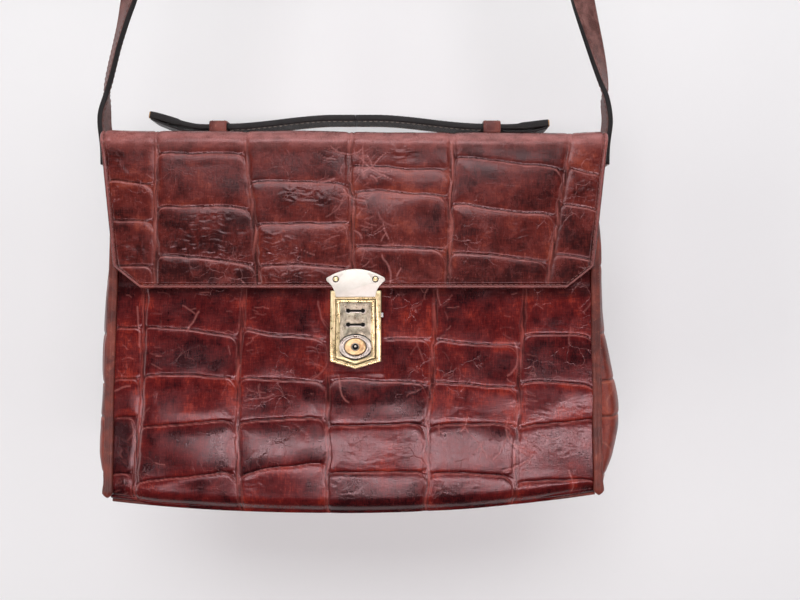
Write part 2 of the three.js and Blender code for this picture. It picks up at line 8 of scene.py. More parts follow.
import bmesh
import bpy
import numpy as np
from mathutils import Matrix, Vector


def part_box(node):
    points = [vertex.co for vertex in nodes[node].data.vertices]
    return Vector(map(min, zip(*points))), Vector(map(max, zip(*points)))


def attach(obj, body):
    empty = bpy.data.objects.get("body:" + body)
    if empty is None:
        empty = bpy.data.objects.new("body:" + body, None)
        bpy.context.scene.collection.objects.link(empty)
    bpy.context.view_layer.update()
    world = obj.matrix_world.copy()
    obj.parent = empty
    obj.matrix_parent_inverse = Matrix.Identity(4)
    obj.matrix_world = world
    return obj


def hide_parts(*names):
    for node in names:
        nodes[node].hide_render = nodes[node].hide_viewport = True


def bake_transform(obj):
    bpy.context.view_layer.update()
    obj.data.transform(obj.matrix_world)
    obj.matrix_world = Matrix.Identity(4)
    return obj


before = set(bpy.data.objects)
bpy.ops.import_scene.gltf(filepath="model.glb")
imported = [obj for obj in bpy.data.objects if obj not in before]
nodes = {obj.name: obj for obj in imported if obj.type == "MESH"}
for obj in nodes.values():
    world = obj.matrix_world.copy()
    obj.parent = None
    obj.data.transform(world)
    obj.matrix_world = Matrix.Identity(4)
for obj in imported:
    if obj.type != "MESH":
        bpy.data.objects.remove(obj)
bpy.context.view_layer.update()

# Driving sizes, in the frame of the bag
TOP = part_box("flap_top_panel")[1].z * 1000
CELL = 0.62
TOP_HALF_DEPTH = 14.5
SLOPE = 0.06
TILT = math.atan(SLOPE)
PANEL_HALF = 165.0
FLAP_BOTTOM = -109.5
FLAP_CLEARANCE = 5.1
LEATHER = 2.0
FRONT_BEND = 10.0
BACK_BEND = 8.0
HANDLE_Y = -1.6
HANDLE_FLAT = 6.5
HANDLE_BOW = 12.8
HANDLE_TIPS = {"left": (146.5, 13.6), "right": (138.0, 8.9)}
END_SIZE = (17.3, 3.7, 0.9)
KEEPER_X = 97.5
STRAP_Y = -4.0
STRAP_WIDTH = 17.6
STRAP_THICKNESS = 3.6
ARCH_RADIUS = 85
LOCK_X = 1.5
LOCK_Z = -137.0
BUTTON_Z = -12.9
X, Y, Z = np.eye(3)


# ---------------------------------------------------------------- numbers and noise

def depth_at(z):
    return TOP_HALF_DEPTH - SLOPE * z


def smooth(a, b, x):
    t = np.clip((x - a) / (b - a), 0, 1)
    return t * t * (3 - 2 * t)


def bell(x, width):
    return np.exp(-(x / width) ** 2)


def squared_off(wave, power):
    return np.sign(wave) * np.abs(wave) ** power


def lattice(i, j, seed):
    h = np.sin(i * 127.1 + j * 311.7 + seed * 74.7) * 43758.5453
    return (h - np.floor(h)) * 2 - 1


def noise(x, y, seed):
    """Smooth value noise in -1..1."""
    i, j = np.floor(x), np.floor(y)
    fx, fy = x - i, y - j
    fx, fy = fx * fx * (3 - 2 * fx), fy * fy * (3 - 2 * fy)
    low = lattice(i, j, seed) * (1 - fx) + lattice(i + 1, j, seed) * fx
    high = lattice(i, j + 1, seed) * (1 - fx) + lattice(i + 1, j + 1, seed) * fx
    return low * (1 - fy) + high * fy


def fbm(x, y, seed):
    return sum(noise(x * 2 ** k, y * 2 ** k, seed + 11 * k) / 2 ** k for k in (0, 1))


def spread(x, y, z):
    """Points from three coordinates, each an array or one number."""
    return np.stack(np.broadcast_arrays(x, y, z), -1) * 1.0


def circle(count):
    return np.linspace(0, 2 * math.pi, count, endpoint=False)


def run_along(line):
    """The distance from the first point of a line to each of its points."""
    return np.concatenate([[0], np.cumsum(np.linalg.norm(np.diff(line, axis=0), axis=1))])


def tangents(path):
    t = np.gradient(np.asarray(path, float), axis=0)
    return t / np.linalg.norm(t, axis=1, keepdims=True)


def upward(path):
    """Unit vectors square to the path and to the y axis, turned up."""
    up = np.cross(tangents(path), Y)
    return up * np.sign(up[:, 2:3])


def resample(path, step):
    """Points every step millimetres along a line."""
    run = run_along(path)
    at = np.linspace(0, run[-1], max(2, int(run[-1] / step) + 1))
    return np.stack([np.interp(at, run, column) for column in path.T], 1)


# ---------------------------------------------------------------- meshes

def put(points):
    return (np.asarray(points, float) + [0, 0, TOP]) / 1000


def new_object(name, data):
    obj = bpy.data.objects.new(name, data)
    bpy.context.scene.collection.objects.link(obj)
    return obj


def mesh_object(name, points, faces, attributes=None):
    """An object from points in mm and a list of face arrays, each (n, corners)."""
    mesh = bpy.data.meshes.new(name)
    loops = np.concatenate([np.asarray(f, np.int32).ravel() for f in faces])
    totals = np.concatenate([np.full(len(f), np.asarray(f).shape[1], np.int32) for f in faces])
    starts = np.concatenate([[0], np.cumsum(totals)[:-1]]).astype(np.int32)
    mesh.vertices.add(len(points))
    mesh.vertices.foreach_set("co", put(points).astype(np.float32).ravel())
    mesh.loops.add(len(loops))
    mesh.loops.foreach_set("vertex_index", loops)
    mesh.polygons.add(len(totals))
    mesh.polygons.foreach_set("loop_start", starts)
    mesh.polygons.foreach_set("loop_total", totals)
    mesh.polygons.foreach_set("use_smooth", np.ones(len(totals), bool))
    for key, values in (attributes or {}).items():
        layer = mesh.attributes.new(key, "FLOAT", "POINT")
        layer.data.foreach_set("value", np.asarray(values, np.float32).ravel())
    mesh.update()
    mesh.validate()
    return new_object(name, mesh)


def face_out(obj, recalculate=False):
    """Turns the faces outwards by the sign of the closed mesh's volume."""
    bm = bmesh.new()
    bm.from_mesh(obj.data)
    if recalculate:
        bmesh.ops.recalc_face_normals(bm, faces=bm.faces)
    if bm.calc_volume(signed=True) < 0:
        bmesh.ops.reverse_faces(bm, faces=bm.faces)
    bm.to_mesh(obj.data)
    bm.free()
    return obj


def panel_object(name, base, relief, thickness, outward, attributes=None):
    """A closed panel: a fine outer face lifted by relief, and a plain back reached round its border.

    base is a grid of points (rows, columns, 3), outward a vector that the outer face looks along.
    """
    n = np.cross(np.gradient(base, axis=0), np.gradient(base, axis=1))
    n = n / np.maximum(np.linalg.norm(n, axis=2, keepdims=True), 1e-9)
    if np.mean(n @ np.array(outward, float)) < 0:
        n = -n

    def border(grid):
        return [grid[0], grid[-1], grid[1:-1, 0], grid[1:-1, -1]]

    points = [(base + n * relief[..., None]).reshape(-1, 3), *border(base - n * thickness)]
    rows, cols = base.shape[:2]
    ids = np.arange(rows * cols).reshape(rows, cols)
    quads = np.stack([ids[:-1, :-1], ids[1:, :-1], ids[1:, 1:], ids[:-1, 1:]], -1).reshape(-1, 4)
    first = ids.size + np.arange(cols)
    last = first + cols
    left = np.concatenate([[first[0]], last[-1] + 1 + np.arange(rows - 2), [last[0]]])
    right = np.concatenate([[first[-1]], left[-2] + 1 + np.arange(rows - 2), [last[-1]]])
    skirts = [(ids[0], first), (last, ids[-1]), (left, ids[:, 0]), (ids[:, -1], right)]
    around = [np.stack([a[:-1], a[1:], b[1:], b[:-1]], -1) for a, b in skirts]
    back = np.stack([left[1:-2], right[1:-2], right[2:-1], left[2:-1]], -1)
    ends = [[[*first, right[1], left[1]]], [[left[-2], right[-2], *last[::-1]]]]
    extra = {
        key: np.concatenate([values.ravel(), *border(values)])
        for key, values in (attributes or {}).items()
    }
    return face_out(mesh_object(name, np.concatenate(points), [quads, *around, back, *ends], extra), True)


def loops_object(name, rings, closed=False, attributes=None):
    """A body through loops of points: joined end to end when closed, and otherwise capped."""
    n, around = rings.shape[:2]
    ids = np.arange(n * around).reshape(n, around)
    turn = np.roll(ids, -1, axis=1)
    quads = np.stack([ids, turn, np.roll(turn, -1, axis=0), np.roll(ids, -1, axis=0)], -1)
    faces = [quads[:n if closed else n - 1].reshape(-1, 4)]
    if not closed:
        faces += [ids[:1, ::-1], ids[-1:]]
    return face_out(mesh_object(name, rings.reshape(-1, 3), faces, attributes))


def sweep(name, path, across, up, section, attributes=None):
    """A capped sweep: section is a closed loop of (across, up) offsets, or one loop for each station."""
    across, up = (np.broadcast_to(a, path.shape)[:, None] for a in (across, up))
    rings = path[:, None] + section[..., 0:1] * across + section[..., 1:2] * up
    return loops_object(name, rings, attributes=attributes)


def arc(angles, half_width, half_height=None):
    """Points of a circle, or of an oval, at the given angles."""
    return np.stack([half_width * np.cos(angles), (half_height or half_width) * np.sin(angles)], 1)


def rounded_section(width, height, radius, corner=4, along=6):
    """A rounded rectangle as a closed loop, with extra points along its long sides."""
    points = []
    w, h = width / 2 - radius, height / 2 - radius
    for k, (cx, cy) in enumerate([(w, h), (-w, h), (-w, -h), (w, -h)]):
        for i in range(corner + 1):
            a = math.radians(90 * k + 90 * i / corner)
            points.append((cx + radius * math.cos(a), cy + radius * math.sin(a)))
        if k in (0, 2):
            sign = 1 - k
            for i in range(1, along):
                points.append((sign * (w - 2 * w * i / along), sign * (h + radius)))
    return np.array(points)


def stitch_object(name, lines, length, gap, radius):
    """Rows of thread stitches. Each line is (points, normals), each stitch a small arched capsule."""
    rings = sides = 6
    turn = circle(sides)[:, None]
    swell = np.sin(np.linspace(0.12, math.pi - 0.12, rings))[:, None]
    lift = radius * (1.5 * swell - 0.7) - 0.05
    size = radius * (0.35 + 0.65 * swell)[:, None]
    bodies = []
    for path, normal in lines:
        fine = resample(np.concatenate([path, normal], 1), 0.5)
        run = run_along(fine[:, :3])
        start = gap
        while start + length < run[-1]:
            at = start + length * (0.5 - 0.5 * np.cos(np.linspace(0, math.pi, rings)))
            here = np.stack([np.interp(at, run, column) for column in fine.T], 1)
            n = here[:, 3:] / np.linalg.norm(here[:, 3:], axis=1, keepdims=True)
            side = np.cross(tangents(here[:, :3]), n)
            centre = here[:, :3] + n * lift
            ring = centre[:, None] + size * (np.cos(turn) * side[:, None] + np.sin(turn) * n[:, None])
            bodies.append(np.concatenate([ring.reshape(-1, 3), centre[[0, -1]]]))
            start += length + gap
    ids = np.arange(rings * sides).reshape(rings, sides)
    after = np.roll(ids, -1, axis=1)
    hub = np.full(sides, rings * sides)
    quads = np.stack([ids[:-1], after[:-1], after[1:], ids[1:]], -1).reshape(-1, 4)
    fans = np.stack([[hub, after[0], ids[0]], [hub + 1, ids[-1], after[-1]]], 0)
    fans = fans.transpose(0, 2, 1).reshape(-1, 3)
    base = np.arange(len(bodies))[:, None, None] * len(bodies[0])
    faces = [(base + quads).reshape(-1, 4), (base + fans).reshape(-1, 3)]
    return mesh_object(name, np.concatenate(bodies), faces)


# ---------------------------------------------------------------- crocodile relief

# Lines between columns of tiles, as (x, z) points from the top down
FLAP_COLUMNS = [
    [(-139, 10), (-138, -50), (-137, -112)],
    [(-77, 10), (-71, -55), (-65, -112)],
    [(-4, 10), (-2, -55), (0, -112)],
    [(70, 10), (67, -55), (65, -112)],
    [(154, 10), (143, -50), (134, -112)],
]
BODY_COLUMNS = [
    [(-145, -100), (-147, -186), (-150, -262)],
    [(-76, -100), (-79, -152), (-80, -193), (-77, -262)],
    [(-17.5, -100), (-17, -262)],
    [(58, -100), (52, -186), (49, -262)],
    [(120, -100), (116.5, -152), (112, -193), (109, -262)],
]
# For each column, the heights of its row lines at its left and right
FLAP_ROWS = [
    [(-33, -38), (-61, -63), (-94, -94)],
    [(-15, -15), (-53.5, -53.5), (-86, -92.5)],
    [(-35, -37), (-64, -64), (-93, -95)],
    [(-24, -27), (-42, -46.5), (-80, -83)],
    [(-17, -27), (-50, -59), (-84, -91)],
    [(-25, -31), (-51, -57), (-86, -91)],
]
BODY_ROWS = [
    [(-136, -136), (-172, -172), (-199, -199), (-237, -237)],
    [(-135, -144), (-170, -171), (-203.5, -199.5), (-242, -233)],
    [(-138, -145), (-171, -173), (-201, -199), (-236, -227)],
    [(-145, -145), (-172, -175.5), (-203, -201.5), (-234.5, -234)],
    [(-145, -149), (-173.5, -177.5), (-203, -203), (-235, -237)],
    [(-142, -142.5), (-174, -176), (-204, -199), (-241, -240)],
]


def plain_layout(half_width, low, high, seed):
    """Columns and rows of tiles for the faces that the front view doesn't show."""
    rng = np.random.default_rng(seed)
    even = (-2 / 3 * half_width, -30 - half_width / 6, 0.22 * half_width, 0.68 * half_width)
    lines = [x + rng.uniform(-5, 5) for x in even]
    columns = [[(x + rng.uniform(-4, 4), high), (x + rng.uniform(-4, 4), low)] for x in lines]
    rows = []
    for _ in range(len(lines) + 1):
        z, here = high - rng.uniform(8, 24), []
        while z > low + 8:
            here.append((z, z + rng.uniform(-5, 5)))
            z -= rng.uniform(27, 36)
        rows.append(here)
    return columns, rows


def line_x(line, z):
    """Where a column line stands at a height."""
    return np.interp(-z, [-p[1] for p in line], [p[0] for p in line])


def croc(x, z, columns, rows, seed, half_width=170.0, depth=1.0, fine=1.0):
    """Relief in mm, and the attributes that the leather reads, for tiles parted by columns and rows.

    A row line is a step with painted shadow in its groove and a light rim under it, the rim's pale colour
    part wear and part painted highlight; a column line a band of fine upright fibres with a rim on each side
    and painted shade along its sides.
    """
    xw = x + 1.2 * noise(x / 17, z / 17, seed) + 0.5 * noise(x / 5, z / 5, seed + 1)
    zw = z + 0.8 * noise(x / 19, z / 19, seed + 2) + 0.3 * noise(x / 6, z / 6, seed + 3)
    lines = [line_x(line, zw) for line in columns]
    edges = [np.full_like(x, -half_width), *lines, np.full_like(x, half_width)]
    column = sum((xw > line).astype(int) for line in lines)
    across = np.full_like(x, 99.0)
    for line in lines:
        across = np.where(np.abs(xw - line) < np.abs(across), xw - line, across)
    under = np.full_like(x, 99.0)
    row = np.zeros_like(column)
    for c, here in enumerate(rows):
        inside = column == c
        u = np.clip((xw - edges[c]) / np.maximum(edges[c + 1] - edges[c], 1), 0, 1)
        for k, (left, right) in enumerate(here):
            bow = 1.1 * math.sin(3.1 * c + 1.7 * k + seed)
            level = left + (right - left) * u + bow * 4 * u * (1 - u) - 2.2 * (2 * u - 1) ** 8
            closer = inside & (np.abs(level - zw) < np.abs(under))
            under = np.where(closer, level - zw, under)
            row += inside & (zw < level)
    half_band = (1.5 + 0.5 * noise(x / 9, z / 11, seed + 4)) * (0.4 + 0.6 * fine)
    beside = np.abs(across) - half_band
    above, right = under > 0, across < 0
    corner = np.where(above, np.where(right, 8.0, 4.0), np.where(right, 4.5, 3.0))
    corner = corner * (1 + 0.3 * lattice(column, row, seed + 10))
    a, b = beside, np.abs(under) - 0.2
    near = (a < corner) & (b < corner)
    inset = np.where(near, corner - np.hypot(corner - a, corner - b), np.minimum(a, b))
    tile = np.clip(inset, 0, None)
    level_side = smooth(-1.5, 2.5, a - b)
    uneven = 0.8 + 0.3 * noise(x / 3.1, z / 3.1, seed + 12) + 0.25 * noise(x / 11, z / 11, seed + 13)
    # rim is lighter on the upper edge of the tile under a row line, where light from above falls: its colour
    # is part wear, part painted highlight. step and side_step darken the groove over a row line and the sides
    # of a column: painted shade, besides their share of the relief.
    rim = bell(inset - 0.2 - 0.55 * fine, 0.55 * fine)
    rim = rim * np.where(above, 0.35 + 0.65 * level_side, 0.3 * (1 - level_side))
    step = bell(inset - 0.55 * fine, 0.75 * fine) * np.where(above, 0, level_side)
    side_step = bell(beside - 0.9 * fine, 0.6 * fine) * np.where(right, 0.25, 0.85)
    band = smooth(0.4, -0.5, beside)
    fibre = noise(xw / 0.75, zw / 14, seed + 8) * 0.55 + noise(xw / 1.2, zw / 8, seed + 9) * 0.45
    lean = 0.35 * lattice(column, row, seed + 6) * np.sin(x / 19 + column)
    lean += 0.16 * lattice(column, row, seed + 7) * np.sin(z / 10 + row)
    edge_drop = 0.8 - np.where(above, 0.0, 0.5) * level_side
    relief = 0.8 - edge_drop * np.exp(-tile / 0.8) + 0.5 * (1 - np.exp(-tile / 5))
    relief += lean * smooth(1, 9, tile) + band * (0.4 + 0.5 * fibre)
    relief += 0.35 * rim * uneven - 0.3 * step - 0.25 * side_step
    return depth * relief, {
        "tile": np.clip(tile / 8, 0, 1),
        "band": band * (0.3 + 0.7 * smooth(-0.1, 0.6, fibre)),
        # rim: part wear, part painted highlight. shade: painted shade in the grooves, and the dark fibres of
        # the bands.
        "rim": np.clip(rim * uneven, 0, 1),
        "shade": np.clip(step + 0.8 * side_step + 0.9 * band * smooth(0.15, -0.4, fibre), 0, 1),
        "tint": 0.5 + 0.5 * lattice(column, row, seed + 5),
    }


def stroke(relief, mark, x, z, path, strength, width):
    """Presses one line of a fold into a grid: a light ridge with a groove along its sides."""
    reach = 3.5 * width + 1
    for (px, pz), (qx, qz) in zip(path[:-1], path[1:]):
        cols = np.nonzero((x[0] > min(px, qx) - reach) & (x[0] < max(px, qx) + reach))[0]
        span = np.nonzero((z[:, 0] > min(pz, qz) - reach) & (z[:, 0] < max(pz, qz) + reach))[0]
        if not len(cols) or not len(span):
            continue
        box = (slice(span[0], span[-1] + 1), slice(cols[0], cols[-1] + 1))
        dx, dz = qx - px, qz - pz
        t = np.clip(((x[box] - px) * dx + (z[box] - pz) * dz) / (dx * dx + dz * dz), 0, 1)
        off = np.hypot(x[box] - px - t * dx, z[box] - pz - t * dz)
        line = bell(off, width)
        value = strength * (1.5 * line - bell(off, 2.4 * width))
        relief[box] = np.where(np.abs(value) > np.abs(relief[box]), value, relief[box])
        mark[box] = np.maximum(mark[box], strength * line)


def wandering(rng, px, pz, heading, length, jitter):
    path, bend = [(px, pz)], rng.normal(0, 0.05)
    for _ in range(max(2, int(length / 2.0))):
        px, pz = px + 2.0 * math.cos(heading), pz + 2.0 * math.sin(heading)
        path.append((px, pz))
        heading += bend + rng.normal(0, jitter)
    return path


def creases(x, z, long_count, tick_count, area, columns, seed, depth=0.2):
    """Folds of the skin: long bent lines, some forked, and short ticks that leave the column lines."""
    rng = np.random.default_rng(seed)
    relief, mark = np.zeros_like(x), np.zeros_like(x)
    low_x, high_x, low_z, high_z = area
    for _ in range(long_count):
        px, pz = rng.uniform(low_x, high_x), rng.uniform(low_z, high_z)
        heading, length = rng.uniform(0, 2 * math.pi), rng.uniform(6, 30)
        strength = rng.uniform(0.4, 1.0)
        path = wandering(rng, px, pz, heading, length, 0.16)
        stroke(relief, mark, x, z, path, strength, 0.5)
        if rng.random() < 0.45:
            turned = heading + rng.choice([-1, 1]) * rng.uniform(0.5, 1.1)
            fork = wandering(rng, *path[len(path) // 2], turned, length / 2, 0.2)
            stroke(relief, mark, x, z, fork, 0.8 * strength, 0.45)
    for _ in range(tick_count):
        line = columns[rng.integers(len(columns))]
        pz = rng.uniform(low_z, high_z)
        side = rng.choice([-1, 1])
        px = line_x(line, pz) + side * rng.uniform(3.0, 11.0)
        heading = rng.normal(0, 0.7) + (math.pi if side < 0 else 0)
        path = wandering(rng, px, pz, heading, rng.uniform(3, 12), 0.32)
        stroke(relief, mark, x, z, path, rng.uniform(0.15, 0.6), 0.36)
    return depth * relief, mark


def crinkles(x, z, seed, tile, amount):
    """Patches of small crosswise wrinkles on the tiles, where the leather has been handled."""
    where = smooth(0.15, 0.6, fbm(x / 34, z / 22, seed))
    warp = 2.2 * noise(x / 8, z / 8, seed + 1)
    ridges = 1 - 2 * np.abs(noise((x + warp) / 6.5, (z + warp) / 2.7, seed + 2))
    fine = 1 - 2 * np.abs(noise((x - warp) / 3.4, (z + warp) / 1.9, seed + 3))
    return amount * where * (0.65 * ridges + 0.35 * fine) * smooth(0.1, 0.6, tile)


# ---------------------------------------------------------------- materials

class Nodes:
    """A small helper around a node tree. In every call a number sets a socket and a socket is linked."""

    def __init__(self, tree, space):
        self.tree = tree
        self.coords = self.node("TexCoord", space)

    def feed(self, node, values):
        for key, value in values.items():
            if isinstance(value, bpy.types.NodeSocket):
                self.tree.links.new(value, node.inputs[key])
            else:
                node.inputs[key].default_value = value

    def node(self, kind, output, inputs=None, **settings):
        """A new node with its settings and its inputs, by name or number. Gives one of its outputs."""
        node = self.tree.nodes.new("ShaderNode" + kind)
        for key, value in settings.items():
            setattr(node, key, value)
        self.feed(node, inputs or {})
        return node.outputs[output]

    def attribute(self, name):
        return self.node("Attribute", "Fac", attribute_name=name)

    def scaled(self, *scale):
        return self.node("Mapping", "Vector", {"Vector": self.coords, "Scale": scale})

    def noise(self, scale, detail=4.0, rough=0.55, distortion=0.0, vector=None, output="Fac"):
        return self.node("TexNoise", output, {
            "Vector": vector or self.coords, "Scale": scale, "Detail": detail, "Roughness": rough,
            "Distortion": distortion,
        })

    def cell_edges(self, scale, warp, warp_scale):
        """Distance to the edges of cells whose lines wander."""
        shift = self.noise(warp_scale, 3, 0.5, output="Color")
        moved = self.node(
            "VectorMath", "Vector", {0: shift, 1: (warp,) * 3, 2: self.coords}, operation="MULTIPLY_ADD",
        )
        return self.node(
            "TexVoronoi", "Distance", {"Vector": moved, "Scale": scale}, feature="DISTANCE_TO_EDGE",
        )

    def math(self, operation, first, *others):
        """The terms joined two at a time by one operation."""
        for other in others:
            first = self.node("Math", "Value", {0: first, 1: other}, operation=operation)
        return first

    def add(self, *terms):
        return self.math("ADD", *terms)

    def times(self, a, b):
        return self.math("MULTIPLY", a, b)

    def ramp(self, value, low, high, to_low=0.0, to_high=1.0):
        return self.node("MapRange", "Result", {
            "Value": value, "From Min": low, "From Max": high, "To Min": to_low, "To Max": to_high,
        }, interpolation_type="SMOOTHSTEP")

    def mix(self, factor, a, b):
        a, b = ((*c, 1) if isinstance(c, tuple) else c for c in (a, b))
        return self.node("Mix", 2, {0: factor, 6: a, 7: b}, data_type="RGBA")

    def bump(self, height, distance, strength=0.6):
        return self.node("Bump", "Normal", {"Height": height, "Distance": distance, "Strength": strength})


class Shader(Nodes):
    """The nodes of a new material around its Principled BSDF."""

    def __init__(self, name, **values):
        self.material = bpy.data.materials.new(name)
        self.material.use_nodes = True
        super().__init__(self.material.node_tree, "Object")
        self.bsdf = self.tree.nodes["Principled BSDF"]
        self.feed(self.bsdf, {key.replace("_", " "): value for key, value in values.items()})

    def done(self, color, roughness, normal, coat=False):
        self.feed(self.bsdf, {"Base Color": color, "Roughness": roughness, "Normal": normal})
        if coat:
            self.feed(self.bsdf, {"Coat Normal": normal})
        return self.material


def shade(color, share):
    return tuple(share * c for c in color)


def croc_leather(name, dark, red, bright, worn, gloss=0.17):
    """Glazed embossed leather: dark tile hearts, redder edges, pale rims and folds that are part wear and
    part painted highlight, painted shade in the grooves, a pinkish shine.
    """
    s = Shader(name, Coat_Weight=0.1, Coat_Roughness=0.1, Specular_IOR_Level=0.36,
               Specular_Tint=(1.0, 0.62, 0.64, 1))
    tile, band, tint, crease, rim, step = (
        s.attribute(key) for key in ("tile", "band", "tint", "crease", "rim", "shade")
    )
    cloud = s.noise(42, 5, 0.6, 0.5)
    mottle = s.noise(110, 6, 0.65, 0.4)
    upright = s.noise(1.0, 3, 0.6, 0.0, s.scaled(1300, 700, 190))
    level = s.noise(1.0, 3, 0.6, 0.0, s.scaled(170, 700, 1100))
    hatch = s.add(s.times(upright, 0.6), s.times(level, 0.4))
    fine = s.noise(900, 4, 0.6)
    tone = s.add(
        s.times(tint, 0.3), s.times(cloud, 1.3), s.times(mottle, 0.8), s.times(hatch, 1.15),
        s.ramp(tile, 0.1, 0.9, 0.1, -0.04),
    )
    crack = s.ramp(s.cell_edges(95, 0.014, 70), 0.0, 0.03, 1.0, 0.0)
    crack = s.times(crack, s.ramp(s.noise(30, 3), 0.52, 0.66))
    color = s.mix(s.ramp(tone, 1.42, 1.96), dark, red)
    color = s.mix(s.ramp(tone, 1.86, 2.3, 0.0, 0.9), color, bright)
    color = s.mix(s.times(band, 0.6), color, tuple(0.5 * (b + w) for b, w in zip(bright, worn)))
    # Painted shade from the shade attribute: dark grooves by the row and column lines, and on the front the
    # painted shadow under the flap.
    color = s.mix(s.times(step, 0.85), color, shade(dark, 0.3))
    flecks = s.ramp(s.noise(620, 5, 0.75, 0.6), 0.56, 0.74, 0.0, 0.34)
    flecks = s.times(flecks, s.ramp(cloud, 0.35, 0.65, 0.4))
    # Towards the worn colour: cracks, creases and flecks are wear; the rims and the flap's top fold are
    # painted highlight.
    wear_and_highlight = s.math("MAXIMUM", s.times(crack, 0.2), s.times(crease, 0.75), s.times(rim, 0.85), flecks)
    wear_and_highlight = s.times(wear_and_highlight, s.ramp(fine, 0.25, 0.7, 0.6))
    color = s.mix(wear_and_highlight, color, worn)
    height = s.add(s.times(fine, 0.35), s.times(hatch, 0.6), s.times(crack, 0.8))
    rough = s.add(s.ramp(mottle, 0.3, 0.7, gloss, gloss + 0.1), s.times(wear_and_highlight, 0.1))
    return s.done(color, rough, s.bump(height, 0.00016), coat=True)


def smooth_leather(name, low, high, worn, rough, coat):
    s = Shader(name, Coat_Weight=coat, Coat_Roughness=0.25, Specular_IOR_Level=0.3)
    mottle = s.noise(70, 6, 0.6, 0.4)
    cell = s.ramp(s.cell_edges(1200, 0.0006, 500), 0.0, 0.12)
    color = s.mix(s.ramp(mottle, 0.35, 0.68), low, high)
    color = s.mix(s.ramp(s.noise(180, 5, 0.7), 0.56, 0.74, 0.0, 0.7), color, worn)
    height = s.add(s.times(cell, 0.7), s.times(s.noise(2200, 3, 0.5), 0.4))
    return s.done(color, s.ramp(mottle, 0.3, 0.7, rough - 0.06, rough + 0.1), s.bump(height, 0.00022))


def edge_paint(name, low, high, worn):
    s = Shader(name, Coat_Weight=0.15, Coat_Roughness=0.35)
    along = s.noise(220, 5, 0.65)
    chips = s.ramp(s.noise(420, 4, 0.7), 0.62, 0.72)
    color = s.mix(s.times(chips, 0.6), s.mix(s.ramp(along, 0.35, 0.7), low, high), worn)
    return s.done(color, s.ramp(along, 0.3, 0.7, 0.42, 0.62), s.bump(s.noise(900, 4, 0.6), 0.0002, 0.5))


def strap_leather(name, low, high, paint_color=(0.007, 0.005, 0.005)):
    """Strap leather that reads the edge attribute: painted edges, grained faces."""
    s = Shader(name, Coat_Weight=0.06, Coat_Roughness=0.25, Specular_IOR_Level=0.25)
    mottle = s.noise(120, 6, 0.65, 0.5)
    line = s.ramp(s.cell_edges(900, 0.0008, 400), 0.0, 0.1, 1.0, 0.0)
    fine = s.noise(1800, 4, 0.6)
    face = s.mix(s.ramp(mottle, 0.32, 0.7), low, high)
    face = s.mix(s.times(line, 0.35), face, shade(low, 0.35))
    ragged = s.times(s.math("SUBTRACT", fine, 0.5), 0.5)
    paint = s.ramp(s.add(s.attribute("edge"), ragged), 0.4, 0.6)
    height = s.math("SUBTRACT", s.times(fine, 0.5), line)
    rough = s.add(s.ramp(mottle, 0.3, 0.7, 0.36, 0.52), s.times(paint, 0.08))
    return s.done(s.mix(paint, face, paint_color), rough, s.bump(height, 0.00025, 0.55))


def worn_metal(name, low, high, tarnish, rough, scratch, spots=0.66, metallic=0.8):
    s = Shader(name, Metallic=metallic)
    cloud = s.noise(180, 6, 0.65, 0.3)
    brushed = s.noise(1.0, 3, 0.6, 0.0, s.scaled(260, 400, 5200))
    pits = s.noise(1500, 4, 0.7)
    stain = s.times(s.ramp(s.noise(420, 6, 0.75), spots, spots + 0.12), 0.85)
    color = s.mix(stain, s.mix(s.ramp(cloud, 0.3, 0.7), low, high), tarnish)
    color = s.mix(s.ramp(pits, 0.62, 0.78, 0.0, 0.3), color, tarnish)
    roughness = s.add(s.ramp(cloud, 0.3, 0.7, rough, rough + 0.14), s.times(stain, 0.3))
    height = s.add(s.times(brushed, scratch), s.times(pits, 0.35))
    return s.done(color, roughness, s.bump(height, 0.00012, 0.5))


def woven(name, low, high):
    """Plain-woven lining cloth: two crossed thread waves and a little fuzz."""
    s = Shader(name, Sheen_Weight=0.35, Sheen_Roughness=0.5, Specular_IOR_Level=0.25)
    thread_wave = {"Vector": s.coords, "Scale": 480, "Distortion": 0.6, "Detail": 2, "Detail Scale": 3}
    weave = s.math("MAXIMUM", *(s.node("TexWave", "Fac", thread_wave, bands_direction=d) for d in "XZ"))
    mottle = s.noise(90, 5, 0.6)
    color = s.mix(s.times(s.add(weave, mottle), 0.5), low, high)
    return s.done(color, s.ramp(mottle, 0.3, 0.7, 0.8, 0.95), s.bump(weave, 0.0003))


def thread(name, dark, color):
    s = Shader(name, Sheen_Weight=0.2)
    twist = s.noise(2600, 3, 0.6)
    color = s.mix(s.ramp(twist, 0.35, 0.65), dark, color)
    return s.done(color, s.ramp(twist, 0.3, 0.7, 0.6, 0.8), s.bump(twist, 0.0001))


def matte(name, low, high, scale=400):
    s = Shader(name)
    grain = s.noise(scale, 5, 0.6)
    color = s.mix(s.ramp(grain, 0.3, 0.7), low, high)
    return s.done(color, s.ramp(grain, 0.3, 0.7, 0.75, 0.95), s.bump(grain, 0.0002, 0.5))


